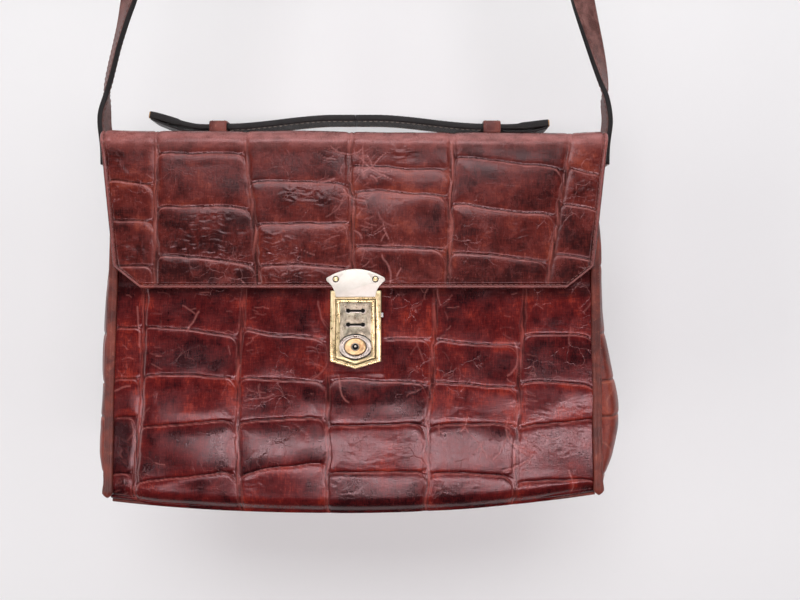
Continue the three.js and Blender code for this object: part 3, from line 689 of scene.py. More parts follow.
MATERIALS = {
    "croc": (croc_leather, "croc_leather",
             (0.019, 0.002, 0.003), (0.088, 0.007, 0.007), (0.25, 0.024, 0.012), (0.36, 0.115, 0.1)),
    "flap": (croc_leather, "flap_leather",
             (0.021, 0.003, 0.003), (0.095, 0.013, 0.01), (0.21, 0.038, 0.02), (0.42, 0.165, 0.15), 0.2),
    "croc_side": (croc_leather, "croc_side_leather",
                  (0.05, 0.006, 0.003), (0.16, 0.02, 0.01), (0.28, 0.05, 0.022), (0.34, 0.11, 0.07), 0.34),
    "ridge": (smooth_leather, "ridge_leather",
              (0.075, 0.013, 0.009), (0.19, 0.036, 0.022), (0.3, 0.09, 0.06), 0.38, 0.05),
    "keeper": (smooth_leather, "keeper_leather",
               (0.09, 0.018, 0.014), (0.2, 0.05, 0.035), (0.36, 0.15, 0.11), 0.42, 0.1),
    "strap": (strap_leather, "strap_leather", (0.085, 0.028, 0.023), (0.24, 0.11, 0.095)),
    "handle": (strap_leather, "handle_leather",
               (0.012, 0.009, 0.009), (0.04, 0.03, 0.029), (0.011, 0.009, 0.009)),
    "paint": (edge_paint, "edge_paint", (0.012, 0.011, 0.012), (0.05, 0.045, 0.048), (0.16, 0.12, 0.1)),
    "raw": (matte, "raw_leather_edge", (0.3, 0.16, 0.06), (0.5, 0.3, 0.12), 900),
    "lining": (woven, "lining_cloth", (0.16, 0.105, 0.065), (0.34, 0.25, 0.17)),
    "board": (matte, "fibre_board", (0.2, 0.15, 0.1), (0.34, 0.26, 0.18)),
    "thread": (thread, "dark_red_thread", (0.08, 0.02, 0.016), (0.2, 0.055, 0.04)),
    "pale_thread": (thread, "pale_thread", (0.2, 0.16, 0.13), (0.42, 0.36, 0.31)),
    "brass": (worn_metal, "worn_brass",
              (0.56, 0.42, 0.21), (0.8, 0.65, 0.39), (0.3, 0.2, 0.09), 0.24, 0.12, 0.86),
    "old_brass": (worn_metal, "old_brass",
                  (0.5, 0.3, 0.14), (0.76, 0.54, 0.3), (0.2, 0.11, 0.05), 0.3, 0.3, 0.6),
    "nickel": (worn_metal, "worn_nickel",
               (0.17, 0.15, 0.11), (0.5, 0.44, 0.33), (0.14, 0.09, 0.04), 0.3, 0.4, 0.54),
    "silver": (worn_metal, "worn_silver",
               (0.42, 0.36, 0.31), (0.66, 0.59, 0.53), (0.24, 0.18, 0.13), 0.24, 0.3, 0.76),
    "hasp": (worn_metal, "satin_hasp",
             (0.6, 0.56, 0.49), (0.68, 0.64, 0.58), (0.5, 0.43, 0.32), 0.38, 0.2, 0.74, 0.5),
    # Near-black sheets in the lock's slots, keyway and ring and rivet seats: painted shade.
    "hollow": (matte, "hollow_dark", (0.003, 0.003, 0.003), (0.008, 0.006, 0.005)),
    "steel": (worn_metal, "plain_steel",
              (0.4, 0.4, 0.4), (0.56, 0.56, 0.55), (0.2, 0.18, 0.15), 0.35, 0.3),
}
M = {key: make(*values) for key, (make, *values) in MATERIALS.items()}


def dress(obj, material, slot, body=None, *replaced):
    obj.data.materials.clear()
    obj.data.materials.append(M[material])
    if replaced:
        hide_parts(*replaced)
    if body:
        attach(obj, body)
    return obj


# ---------------------------------------------------------------- flap and back leather

BACK_CENTRE = (depth_at(-BACK_BEND) - BACK_BEND * math.cos(TILT), -BACK_BEND)
FRONT_CENTRE = (-depth_at(-FRONT_BEND) - FLAP_CLEARANCE + FRONT_BEND * math.cos(TILT), -FRONT_BEND)


def bent_section(centre, radius, start, low_y, bottom, seam_y, seam_count, step):
    """A section from the bottom up, over a bend and on to the seam: (y, z) points and their run."""
    count = max(3, int(abs(math.pi / 2 - start) * radius / step) + 1)
    bend = np.array(centre) + arc(np.linspace(start, math.pi / 2, count), radius)
    straight = np.linspace((low_y, bottom), bend[0], int((bend[0, 1] - bottom) / step) + 1)[:-1]
    flat = np.linspace(bend[-1], (seam_y, centre[1] + radius), seam_count)[1:]
    section = np.concatenate([straight, bend, flat])
    return section, bottom + run_along(section)


def front_section(inset, bottom, step):
    low_y = -depth_at(bottom) - (FLAP_CLEARANCE - inset)
    return bent_section(
        FRONT_CENTRE, FRONT_BEND - inset, math.pi - TILT, low_y, bottom, HANDLE_Y + 0.2, 10, step,
    )


def back_section(inset, bottom, step):
    low_y = depth_at(bottom) - inset
    seam_count = max(4, int(9 / step))
    return bent_section(
        BACK_CENTRE, BACK_BEND - inset, TILT, low_y, bottom, HANDLE_Y + 0.6, seam_count, step,
    )


def section_grid(section, run, half, columns):
    """A grid over a section: the share u of the half width, then x, the run, y and z at each point."""
    u = np.linspace(-1, 1, columns)
    x = half[:, None] * u
    return u, x, *(np.repeat(a[:, None], columns, 1) for a in (run, *section.T))


def flap_half_width(run):
    """Half the flap's width at a height: sides that lean in, then the cut corners."""
    sides = 178.2 - 12.0 * np.clip(-run / 94, 0, 1) - 1.2 * smooth(0, 22, run)
    return sides - 19.6 * np.clip((-94 - run) / 15.5, 0, 1) ** 1.05


def flap_front_leather():
    section, run = front_section(0, FLAP_BOTTOM, CELL)
    half = flap_half_width(run)
    u, x, level, y, z = section_grid(section, run, half, int(356 / CELL))
    relief, attributes = croc(x, level, FLAP_COLUMNS, FLAP_ROWS, 3, 172, 0.75, 0.72)
    fold, mark = creases(x, level, 110, 420, (-170, 170, -104, 4), FLAP_COLUMNS, 21)
    edge = np.minimum((1 - np.abs(u)) * half[:, None], 1.2 * (run[:, None] - FLAP_BOTTOM))
    lip, inner = smooth(2.9, 2.0, edge), smooth(2.6, 4.2, edge)
    top_roll = bell(level - 1.0, 8.0)
    relief = (relief + fold + crinkles(x, level, 23, attributes["tile"], 0.22)) * inner
    relief += 0.75 * lip * smooth(-0.2, 0.9, edge) - 0.35 * bell(edge - 3.3, 0.7)
    relief += 0.5 * fbm(x / 46, level / 30, 5) * smooth(0, 10, edge) - 0.4
    relief += (2.1 - 0.6 * x / 178) * top_roll
    for key in ("band", "rim", "shade"):
        attributes[key] *= inner * (1 - 0.55 * top_roll)
    attributes["crease"] = np.maximum(mark * inner, 0.5 * lip * smooth(0.0, 1.4, edge))
    # Painted highlight: a pale band along the top fold of the flap, carried in the rim attribute.
    painted_fold_highlight = 0.98 * bell(level + 3.5, 6.5) * (0.75 + 0.3 * noise(x / 6, level / 2, 61))
    attributes["rim"] = np.maximum(attributes["rim"], painted_fold_highlight)
    attributes["tile"] = attributes["tile"] * inner + (1 - inner) * 0.6
    base = spread(x, y, z)
    flap = panel_object("flap_leather_front", base, relief, LEATHER - 0.2, (0, -1, 0.3), attributes)
    dress(flap, "flap", "oxblood", None, "flap_front_panel")
    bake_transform(flap)


def belly(x):
    """How low the bag's bottom hangs, lowest a little left of the middle."""
    return -251.5 - 12.6 * (1 - np.clip(np.abs((x + 18) / 186), 0, 1) ** 2.2)


def back_leather():
    section, run = back_section(0, -249, 2 * CELL)
    half = PANEL_HALF + 1 + 8.5 * smooth(-42, -6, run) + 3.4 * smooth(0, 14, run)
    u, x, level, y, z = section_grid(section, run, half, int(344 / (2 * CELL)))
    z += (belly(x) + 249) * smooth(-120, -249, level)
    y += 2.2 * smooth(-60, -170, level) * (1 - np.abs(u) ** 3) * smooth(-262, -200, z)
    layout = plain_layout(166, -262, 20, 8)
    relief, attributes = croc(x, level, *layout, 9)
    fold, attributes["crease"] = creases(x, level, 70, 200, (-160, 160, -240, 0), layout[0], 33)
    relief = (relief + fold) * smooth(0.4, 3, (1 - np.abs(u)) * half[:, None]) - 0.4
    base = spread(x, y, z)
    back = panel_object("back_leather", base, relief, LEATHER - 0.2, (0, 1, 0.2), attributes)
    dress(back, "croc", "oxblood", None, "back_panel", "flap_top_panel")
    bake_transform(back)


def front_leather():
    hidden_rows = np.linspace(-11, -96, 12)[:-1]
    seen_rows = np.linspace(-96, -250, int(154 / CELL))
    u = np.linspace(-1, 1, int(330 / CELL))
    x, level = np.meshgrid(PANEL_HALF * u, np.concatenate([hidden_rows, seen_rows]))
    z = level + (belly(x) + 250) * smooth(-130, -250, level)
    beside_lock = 1 - bell(x - LOCK_X, 26) * smooth(-184, -166, level)
    pillow = 3.2 * smooth(-118, -205, level) * (1 - np.abs(u) ** 2.6) * beside_lock
    y = -depth_at(z) - pillow + 7.5 * smooth(14, 0, z - belly(x)) ** 2
    relief, attributes = croc(x, z, BODY_COLUMNS, BODY_ROWS, 4, PANEL_HALF, 0.55, 0.62)
    fold, mark = creases(x, z, 40, 150, (-160, 160, -250, -112), BODY_COLUMNS, 14, 0.16)
    relief += fold + crinkles(x, z, 27, attributes["tile"], 0.06)
    relief += 0.8 * fbm(x / 52, z / 36, 6) * smooth(-108, -135, level)
    quiet = bell(np.clip(np.abs(x - LOCK_X) - 16, 0, None), 5) * smooth(-172, -167, z)
    relief = relief * smooth(-104, -110, level) * (1 - quiet) - 0.4 - 0.3 * quiet
    # Painted shadow: a dark band just under the flap's bottom edge, added to the shade attribute.
    painted_flap_shadow = smooth(-119, -112.5, z) * (0.75 + 0.2 * noise(x / 7, z / 3, 71))
    attributes["shade"] = np.maximum(attributes["shade"], painted_flap_shadow)
    attributes["crease"] = mark
    for key in ("band", "rim", "shade", "crease"):
        attributes[key] = attributes[key] * (1 - quiet)
    base = spread(x, y, z)
    front = panel_object("front_leather", base, relief, LEATHER - 0.2, (0, -1, 0.1), attributes)
    dress(front, "croc", "oxblood", "bag", "front_panel")


# ---------------------------------------------------------------- gussets, ridges and base

def bulge(side, z):
    """How far the gusset stands out past its ridges."""
    if side > 0:
        return 8.8 + 2.5 * smooth(-40, -120, z) + 10.5 * bell(z + 196, 36) - 5 * smooth(-225, -250, z)
    return 8.8 + 4.2 * smooth(-60, -150, z) + 2.0 * bell(z + 210, 25) - 4.5 * smooth(-222, -250, z)


def gusset(side, label):
    step = 1.6 * CELL
    angles = np.linspace(-math.pi / 2, math.pi / 2, int(74 / step))
    a, z = np.meshgrid(angles, np.linspace(-7, -250, int(243 / step)))
    out = bulge(side, z) * np.cos(a) ** 0.8 * (1 - 0.1 * bell(a, 0.16))
    x = 166.5 + out + 1.3 * noise(z / 40, a * 2.2, 6 + side)
    rows = [(v, v) for v in (-35, -61, -92, -141, -175, -199, -238)]
    no_columns = [[(60, 0), (60, -260)]]
    around = a * 22
    relief, attributes = croc(around, z, no_columns, [rows, []], 12 + side, 60, 0.9)
    fold, mark = creases(around, z, 40, 60, (-30, 30, -245, -20), no_columns, 41 + side)
    attributes.update(crease=mark, band=0 * mark)
    relief = (relief + fold) * smooth(0.0, 0.12, math.pi / 2 - np.abs(a)) - 0.5
    base = spread(side * x, (depth_at(z) - 1.4) * np.sin(a), z)
    piece = panel_object(f"{label}_gusset_leather", base, relief, 1.6, (side, 0, 0), attributes)
    dress(piece, "croc_side", "brown_edge", "bag", f"{label}_gusset")


def ridge(side, label, face, face_label):
    """The folded seam at an upright corner: two rounded folds side by side, with an ear at the foot."""
    top = -12.0 if face < 0 else -10.0
    foot = -252.5 if side < 0 else -250.5
    z = np.linspace(top, foot, 150)
    sway = 1.4 * smooth(-120, -20, z) if side > 0 else 0.0
    x = 167.6 + 0.5 * noise(z / 30, 0 * z, 17 + side) + sway
    path = spread(side * x, face * (depth_at(z) + 0.6), z)
    up = np.cross(side * X, tangents(path))
    up *= np.sign(up @ (face * Y))[:, None]
    a = circle(28)
    width = 3.1 * np.cos(a)
    notch = 0.75 * bell(width - 0.35, 0.55)
    height = np.where(np.sin(a) > 0, 1.75 * np.abs(np.sin(a)) ** 0.55 - notch, 1.6 * np.sin(a))
    ends = np.clip(smooth(foot, foot + 3.0, z) * smooth(top, top - 3, z), 0.02, 1)
    scale = np.sqrt(ends) * (1 + 0.16 * bell(z - foot - 4.5, 3.5))
    sections = np.stack([width, height], 1) * scale[:, None, None]
    piece = sweep(f"{face_label}_{label}_ridge", path, side * X, up, sections)
    dress(piece, "ridge", "brown_edge", "bag", f"{face_label}_{label}_piping")


def base_leather():
    """The bottom, rounded up at the front and the back, and the welts along its long edges."""
    x = np.linspace(-167, 167, int(334 / (2.5 * CELL)))
    gx, gv = np.meshgrid(x, np.linspace(-1, 1, 40), indexing="ij")
    y = (depth_at(-252) - 3.2) * np.sin(gv * math.pi / 2)
    z = belly(gx) - 2.6 + 7.5 * (1 - np.cos(gv * math.pi / 2)) + 0.6 * noise(gx / 40, gv * 2, 19)
    columns = [[(v, 30), (v, -30)] for v in (-148, -78, -17, 50, 110)]
    relief, attributes = croc(gx, 24 * gv, columns, [[(4, 2)]] * 6, 31, PANEL_HALF, 0.8)
    attributes["crease"] = 0 * gx
    base = panel_object("base_leather", spread(gx, y, z), relief * 0.8 - 0.6, 1.6, (0, 0, -1), attributes)
    dress(base, "croc", "oxblood", "bag", "base_panel")
    low = belly(x) + 0.4
    for face, label in ((-1, "front"), (1, "back")):
        path = spread(x, face * (depth_at(low) - 7.0), low)
        dress(sweep(f"{label}_welt", path, Y, Z, arc(circle(10), 1.15)), "ridge", "brown_edge", "bag")


# ---------------------------------------------------------------- linings and inside

def flap_linings():
    section, run = front_section(LEATHER + 0.5, FLAP_BOTTOM + 1.5, 3)
    half = flap_half_width(np.clip(run, FLAP_BOTTOM, None)) - 1.5
    _, x, _, y, z = section_grid(section, run, half, 120)
    relief = 0.12 * noise(x / 14, z / 14, 51) - 1.0
    front = panel_object("flap_lining_front", spread(x, y, z), relief, -0.15, (0, -1, 0.3))
    dress(front, "lining", "lining", None, "flap_front_lining")
    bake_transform(front)
    section, run = back_section(LEATHER + 0.5, -14, 2)
    _, x, _, y, z = section_grid(section, run, 170.5 + 3.0 * smooth(0, 10, run), 120)
    back = panel_object("flap_lining_back", spread(x, y, z), 0 * x - 1.0, -0.15, (0, 1, 0.3))
    dress(back, "lining", "lining", None, "flap_top_lining")
    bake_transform(back)


def body_lining():
    """One sewn bag of lining inside the leather, open at the top: out of its foot, over and in again."""
    levels = np.concatenate([np.linspace(-12, -236, 46), np.linspace(-238, -245, 5)])
    t = circle(160)
    rings = []
    for inset, heights in ((0.0, levels[::-1]), (0.9, levels)):
        for z in heights:
            shrink = 0.75 * smooth(-236, -246, z)
            x = squared_off(np.cos(t), 0.16) * (164.0 - inset) * (1 - 0.03 * shrink)
            y = squared_off(np.sin(t), 0.35) * (depth_at(z) - 2.7 - inset) * (1 - shrink)
            sag = (belly(x) + 251.5) * smooth(-120, -245, z) + 1.5 * smooth(-236, -245, z)
            ripple = 0.3 * noise(x / 30 + y / 9, z / 40, 61) * np.sign(y)
            rings.append(spread(x, y - ripple, z + sag))
    dress(
        loops_object("body_lining", np.array(rings)), "lining", "lining", "bag",
        "front_lining", "back_lining", "left_gusset_lining", "right_gusset_lining", "base_lining",
    )


def divider():
    x, v = np.meshgrid(np.linspace(-160, 160, 90), np.linspace(0, 1, 50), indexing="ij")
    top = -24 - 7 * bell(x, 34) + 0.5 * noise(x / 30, v * 0, 71)
    z = top * v + (belly(x) + 12) * (1 - v)
    y = 0.8 * noise(x / 60, z / 50, 73)
    piece = panel_object("divider_sheet", spread(x, y, z), 0 * x + 0.8, 0.8, (0, -1, 0))
    dress(piece, "lining", "lining", "bag", "divider")
    path = spread(x[:, 0], y[:, -1], top[:, -1] + 0.2)
    dress(sweep("divider_binding", path, Y, Z, arc(circle(12), 1.7, 2.6)), "keeper", "brown_edge", "bag")


def pocket():
    u, v = np.meshgrid(np.linspace(-1, 1, 80), np.linspace(0, 1, 50), indexing="ij")
    z = -196 + 114 * v
    stand = 5.0 * smooth(0, 0.12, np.minimum(1 - np.abs(u), v * 1.2)) * (0.55 + 0.45 * v) + 0.5
    y = depth_at(z) - 4.0 - stand + 0.25 * noise(u * 6, v * 5, 81)
    piece = panel_object("pocket_sheet", spread(98 * u, y, z), 0 * u, 0.7, (0, -1, 0))
    dress(piece, "lining", "lining", "bag", "slip_pocket")


def top_binding():
    x = np.linspace(-162, 162, 120)
    path = spread(x, 1.5 - depth_at(-11), 0.3 * noise(x / 30, 0 * x, 91) - 11.6)
    tape = sweep("front_top_tape", path, Y, Z, rounded_section(4.6, 7.5, 1.6, 4, 2))
    dress(tape, "keeper", "brown_edge", "bag", "front_top_binding")


# ---------------------------------------------------------------- handle

def strap_sweep(name, path, across, up, width, thickness, radius=0.9, thick=1.0, paint=None):
    """A flat strap with an edge attribute, 1 on its painted edges and 0 on its faces."""
    loop = rounded_section(width, thickness, radius, 4, 10)
    paint = paint or 1.5 * radius / width
    edge = np.clip((2 * np.abs(loop[:, 0]) / width - 1 + paint) / paint, 0, 1)
    sections = loop * spread(1.0, thick, np.zeros(len(path)))[:, None, :2]
    return sweep(name, path, across, up, sections, {"edge": np.tile(edge, len(path))})


def edge_stitches(name, path, across, up, out, lift, size):
    """Stitches along both edges of both faces of a strap."""
    lines = [(path + across * o * out + up * f * lift, up * f) for o in (-1, 1) for f in (-1, 1)]
    return stitch_object(name, lines, *size)


def handle(side, label):
    x = np.linspace(95.0, 0.15, 120)
    bow = HANDLE_FLAT + (HANDLE_BOW - HANDLE_FLAT) * smooth(92, 14, x)
    path = spread(side * x, HANDLE_Y, bow)
    up = upward(path)
    grip = strap_sweep(f"handle_grip_{label}", path, Y, up, 18, 4.2)
    dress(grip, "handle", "strap_leather", None, *(["handle_grip"] if side < 0 else []))
    threads = edge_stitches(f"handle_grip_stitches_{label}", path, Y, up, 6.9, 2.12, (2.6, 1.3, 0.3))
    dress(threads, "pale_thread", "strap_leather")
    for piece in (grip, threads):
        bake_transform(piece)


def handle_end(side, label):
    """The strip past its keeper: an upper layer that rises to the tip and a thin one folded back below."""
    body = f"handle_end_{label}"
    tip_x, tip_z = HANDLE_TIPS[label]
    x = np.linspace(87, tip_x, 90)
    z = HANDLE_FLAT + (tip_z - HANDLE_FLAT) * smooth(108, tip_x + 9, x) * 1.35
    path = spread(side * x, HANDLE_Y, z)
    up = upward(path)
    thick = 1 + 0.35 * smooth(tip_x - 22, tip_x - 18, x)
    end = strap_sweep(f"handle_end_strip_{label}", path, Y, up, *END_SIZE, thick=thick, paint=0.1)
    dress(end, "handle", "strap_leather", body, body)
    tip = path[-1] + tangents(path)[-1] * np.array([[0.0], [0.9]])
    cut = rounded_section(*END_SIZE, 4, 10) * (0.93, 0.93 * thick[-1])
    dress(sweep(f"handle_tip_{label}", tip, Y, up[-2:], cut), "raw", "strap_leather", body)
    t = np.linspace(0, 1, 50)
    low_x = tip_x - 0.5 - (tip_x - 106) * t
    gap = 2.9 + 2.2 * np.sin(math.pi * t) ** 0.8 * (1 - 0.4 * t)
    below = spread(side * low_x, HANDLE_Y, np.maximum(np.interp(low_x, x, z) - gap, 3.2))
    fold = strap_sweep(f"handle_fold_{label}", below, Y, upward(below), 16.6, 1.3, 0.5)
    dress(fold, "handle", "strap_leather", body)


def keeper(side, label):
    """A folded leather loop round the handle, sewn down at its feet."""
    width, height, wall = 22.6, 10.6, 1.7
    t = circle(48)
    middle = (side * KEEPER_X, HANDLE_Y, 0.4 + height / 2)

    def superloop(x, grow):
        y = squared_off(np.cos(t), 0.42) * (width + grow) / 2
        z = squared_off(np.sin(t), 0.42) * (height + grow) / 2
        return spread(x, y, z)

    outside = [(-6.1, 0.55), (-5.9, 0.2), (-5.2, 0.0), (0, 0.0), (5.2, 0.0), (5.9, 0.2), (6.1, 0.55)]
    rings = [superloop(x, -2 * lip) for x, lip in outside]
    rings += [superloop(x, -2 * wall) for x, _ in outside[::-1]]
    piece = loops_object(f"keeper_{label}", np.array(rings) + middle, closed=True)
    dress(piece, "keeper", "brown_edge", "flap_top", f"handle_keeper_{label}")
    turned = np.where(t < 1.5 * math.pi, t, t - 2 * math.pi)
    lines = []
    for offset in (-4.3, 4.3):
        loop = superloop(offset, 0.05)
        shown = (loop[:, 2] > -3.4) | ((loop[:, 1] < 0) & (loop[:, 2] > -4.2))
        order = [k for k in np.argsort(turned) if shown[k]]
        lines.append(((loop + middle)[order], (loop * [0, 1 / 3, 1])[order]))
    threads = stitch_object(f"keeper_stitches_{label}", lines, 1.7, 0.8, 0.22)
    dress(threads, "thread", "brown_edge", "flap_top")


# ---------------------------------------------------------------- shoulder strap

# The strap's middle line from the bag up as (x, z), and its twist in degrees at each of these points
LEG = [
    (179.2, -21), (179.5, -8), (181, 2), (181.9, 9), (181.9, 16), (181, 22.5), (180.1, 29),
    (179.8, 35.5), (178.6, 42), (175.8, 54.6), (172.6, 67.5), (167.4, 87), (164.2, 100),
]
LEG_TWIST = {
    "left": (0, 0, 1, 2.5, 5, 12, 21, 31, 35, 36.5, 37, 44, 56),
    "right": (0, 0, 0, 0.5, 4.5, 6, 11, 28, 36.5, 47.5, 56, 67.5, 78),
}


def strap_stations(label):
    """Half of the strap's middle line from the bag to the top of its arch: x, z and twist in degrees."""
    x0, z0 = LEG[-1]
    radius = ARCH_RADIUS + STRAP_THICKNESS / 2
    centre = -TOP - ARCH_RADIUS
    reach = math.hypot(x0, centre - z0)
    lean = math.atan2(x0, centre - z0) - math.asin(radius / reach)
    length = math.sqrt(reach ** 2 - radius ** 2)
    t = np.linspace(0, 1, 24)[1:-1]
    twist = LEG_TWIST[label][-1] * (1 - smooth(0.25, 1, t))
    run = spread(x0 - length * t * math.sin(lean), z0 + length * t * math.cos(lean), twist)
    a = np.linspace(lean, math.pi / 2, 24)
    arch = spread(radius * np.cos(a), centre + radius * np.sin(a), 0)
    return np.concatenate([np.column_stack([LEG, LEG_TWIST[label]]), run, arch])


def smooth_line(points, rounds=2):
    """Corner cutting that keeps both ends."""
    for _ in range(rounds):
        a, b = points[:-1], points[1:]
        cut = np.stack([0.75 * a + 0.25 * b, 0.25 * a + 0.75 * b], 1).reshape(-1, points.shape[1])
        points = np.concatenate([points[:1], cut, points[-1:]])
    return points


def shoulder_strap():
    other = strap_stations("left")[:-1][::-1] * [-1, 1, 1]
    line = resample(smooth_line(np.concatenate([strap_stations("right"), other])), 3.0)
    path = spread(line[:, 0], STRAP_Y, line[:, 1])
    t = tangents(path)
    turn = np.radians(line[:, 2])[:, None]
    across = Y * np.cos(turn) + np.cross(Y, t) * np.sin(turn)
    out = np.cross(across, t)
    name = "shoulder_strap"
    strap = strap_sweep(f"{name}_leather", path, across, out, STRAP_WIDTH, STRAP_THICKNESS, 0.8)
    dress(strap, "strap", "strap_leather", "strap", name)
    path, across, out = (a[2:-2] for a in (path, across, out))
    lift = STRAP_THICKNESS / 2
    threads = edge_stitches(f"{name}_stitches", path, across, out, 6.5, lift, (2.8, 1.3, 0.26))
    dress(threads, "thread", "strap_leather", "strap")


# ---------------------------------------------------------------- metal parts from the frame

# Node, width of its bevel, material, slot and body
BEVELLED = (
    ("lock_case", 0.35, "brass", "brass", "bag"),
    ("lock_faceplate", 0.15, "nickel", "pale_brass", "bag"),
    ("hasp_plate", 0.18, "hasp", "pale_brass", "flap_front"),
    ("hasp_tongue", 0.2, "steel", "steel", "flap_front"),
    ("latch_slider", 0.3, "steel", "steel", "latch"),
)
FRAME_PIECES = {
    "steel": ("lock_backplate", "latch_spring", "button_spring", "hasp_backplate"),
    "board": ("base_stiffener",),
    "brass": (
        *(f"lock_stud_{k}" for k in (1, 2, 3, 4)),
        "hasp_rivet_left", "hasp_rivet_right", "strap_rivet_left", "strap_rivet_right",
    ),
    "paint": ("strap_washer_left", "strap_washer_right"),
}


def smooth_shaded(mesh, degrees):
    mesh.polygons.foreach_set("use_smooth", [True] * len(mesh.polygons))
    mesh.set_sharp_from_angle(angle=math.radians(degrees))


def bevelled(node, width, material, slot, body):
    """A finer copy of a CAD piece: its flat triangles joined, its edges rounded."""
    obj = new_object(f"{node}_finished", nodes[node].data.copy())
    bm = bmesh.new()
    bm.from_mesh(obj.data)
    bmesh.ops.remove_doubles(bm, verts=bm.verts, dist=1e-6)
    bmesh.ops.dissolve_limit(bm, angle_limit=math.radians(1), verts=bm.verts, edges=bm.edges)
    sharp = [e for e in bm.edges if len(e.link_faces) == 2 and e.calc_face_angle(0) > math.radians(38)]
    bmesh.ops.bevel(
        bm, geom=sharp, offset=width / 1000, segments=3, profile=0.5, affect="EDGES", clamp_overlap=True,
    )
    bm.to_mesh(obj.data)
    bm.free()
    smooth_shaded(obj.data, 40)
    dress(obj, material, slot, body, node)


def metal_parts():
    for values in BEVELLED:
        bevelled(*values)
    for material, names in FRAME_PIECES.items():
        for mesh in (nodes[name].data for name in names):
            mesh.materials.clear()
            mesh.materials.append(M[material])
            smooth_shaded(mesh, 35)


def lock_point(p):
    """Points of the lock's own frame (mm, -y out of the leather) in the frame of the bag."""
    p = np.asarray(p, float)
    y = p[..., 1] * math.cos(TILT) + p[..., 2] * math.sin(TILT)
    z = -p[..., 1] * math.sin(TILT) + p[..., 2] * math.cos(TILT)
    return np.stack([p[..., 0] + LOCK_X, y - depth_at(LOCK_Z), z + LOCK_Z], -1)


def lock_ovals(name, profile, material, body, centre=(0, BUTTON_Z), count=72, closed=True, replaced=()):
    """A lock part through ovals in the lock's frame, each (half width, half height, y)."""
    t = circle(count)
    rings = [spread(centre[0] + rx * np.cos(t), y, centre[1] + rz * np.sin(t)) for rx, rz, y in profile]
    dress(loops_object(name, lock_point(rings), closed), material, "brass", body, *replaced)


def shield(half, top, shoulder, tip, y):
    return [(-half, y, top), (-half, y, shoulder), (0, y, tip), (half, y, shoulder), (half, y, top)]


def lock_details():
    lock_ovals("button_ring_turned", [
        (11.2, 8.2, -6.0), (11.2, 8.2, -6.4), (10.9, 7.95, -6.8), (10.4, 7.6, -6.95), (9.9, 7.25, -6.8),
        (9.4, 6.95, -6.4), (8.8, 6.7, -6.25), (8.2, 6.4, -6.4), (7.9, 6.3, -6.6), (7.8, 6.25, -6.0),
    ], "silver", "bag", replaced=["button_ring"])
    # A near-black ring round the turned ring: painted shade.
    lock_ovals("button_ring_seat", [
        (11.9, 8.9, -5.74), (11.9, 8.9, -5.78), (11.0, 8.0, -5.78), (11.0, 8.0, -5.74),
    ], "hollow", "bag")
    lock_ovals("lock_button_dished", [
        (7.3, 5.75, -3.2), (7.3, 5.75, -6.8), (7.0, 5.45, -7.1), (5.9, 4.6, -7.15), (5.3, 4.2, -6.95),
        (3.4, 3.2, -6.9), (2.9, 2.85, -7.05), (2.7, 2.7, -6.9), (2.7, 2.7, -3.2),
    ], "old_brass", "button", replaced=["lock_button"])
    lock_ovals("key_barrel_rim", [
        (r, r, y) for r, y in ((2.5, -3.4), (2.5, -7.15), (2.4, -7.35), (2.2, -7.3), (2.1, -7.0), (2.1, -3.4))
    ], "silver", "key", count=40, replaced=["key_barrel"])
    # A near-black disc at the foot of the keyway: painted shade.
    floor = [(2.1, 2.1, -4.4), (2.1, 2.1, -4.9)]
    lock_ovals("keyway_floor", floor, "hollow", "key", count=40, closed=False)
    pin = [(0.75, 0.75, -4.5), (0.75, 0.75, -6.9), (0.6, 0.6, -7.15), (0.25, 0.25, -7.25)]
    lock_ovals("key_pin", pin, "silver", "key", (0, BUTTON_Z + 0.35), 24, False)
    # Near-black rings round the hasp's rivets: painted shade.
    dimple = [(2.25, 2.25, -6.61), (2.25, 2.25, -6.64), (1.75, 1.75, -6.64), (1.75, 1.75, -6.61)]
    for label, x in (("left", -13.6), ("right", 13.6)):
        lock_ovals(f"hasp_rivet_seat_{label}", dimple, "hollow", "flap_front", (x, 33.5), 32)
    bevel = [
        shield(13.35, 19.35, -20.55, -24.95, -5.72), shield(13.1, 19.1, -20.35, -24.7, -6.05),
        shield(12.6, 18.6, -19.95, -24.1, -6.05), shield(10.6, 17.4, -18.9, -22.4, -5.76),
        shield(10.6, 17.4, -18.9, -22.4, -5.72),
    ]
    dress(loops_object("faceplate_bevel", lock_point(bevel), True), "brass", "brass", "bag")
    for label, z in (("upper", 11.8), ("lower", 2.3)):
        # A near-black sheet at the back of each slot: painted shade.
        well = [(7.4, 1.9, -4.36), (7.4, 1.9, -4.2)]
        lock_ovals(f"slot_well_{label}", well, "hollow", "bag", (0, z), 32, False)
        path = lock_point(slot_lip(z))
        across = np.cross(tangents(path), -Y)
        bead = sweep(f"slot_lip_{label}", path, across, -Y, rounded_section(0.7, 0.5, 0.24, 3, 2))
        dress(bead, "silver", "pale_brass", "bag")


def slot_lip(z):
    """The raised lip under a slot: round its two ends and up over the waist between them."""
    left = np.array([-5.05, z]) + arc(np.linspace(math.pi * 0.9, 1.75 * math.pi, 14), 1.85)
    waist = np.linspace((-3.2, z - 1.15), (3.2, z - 1.15), 9)
    line = np.concatenate([left, waist, left[::-1] * [-1, 1]])
    return spread(line[:, 0], -5.78, line[:, 1])


# ---------------------------------------------------------------- stitching

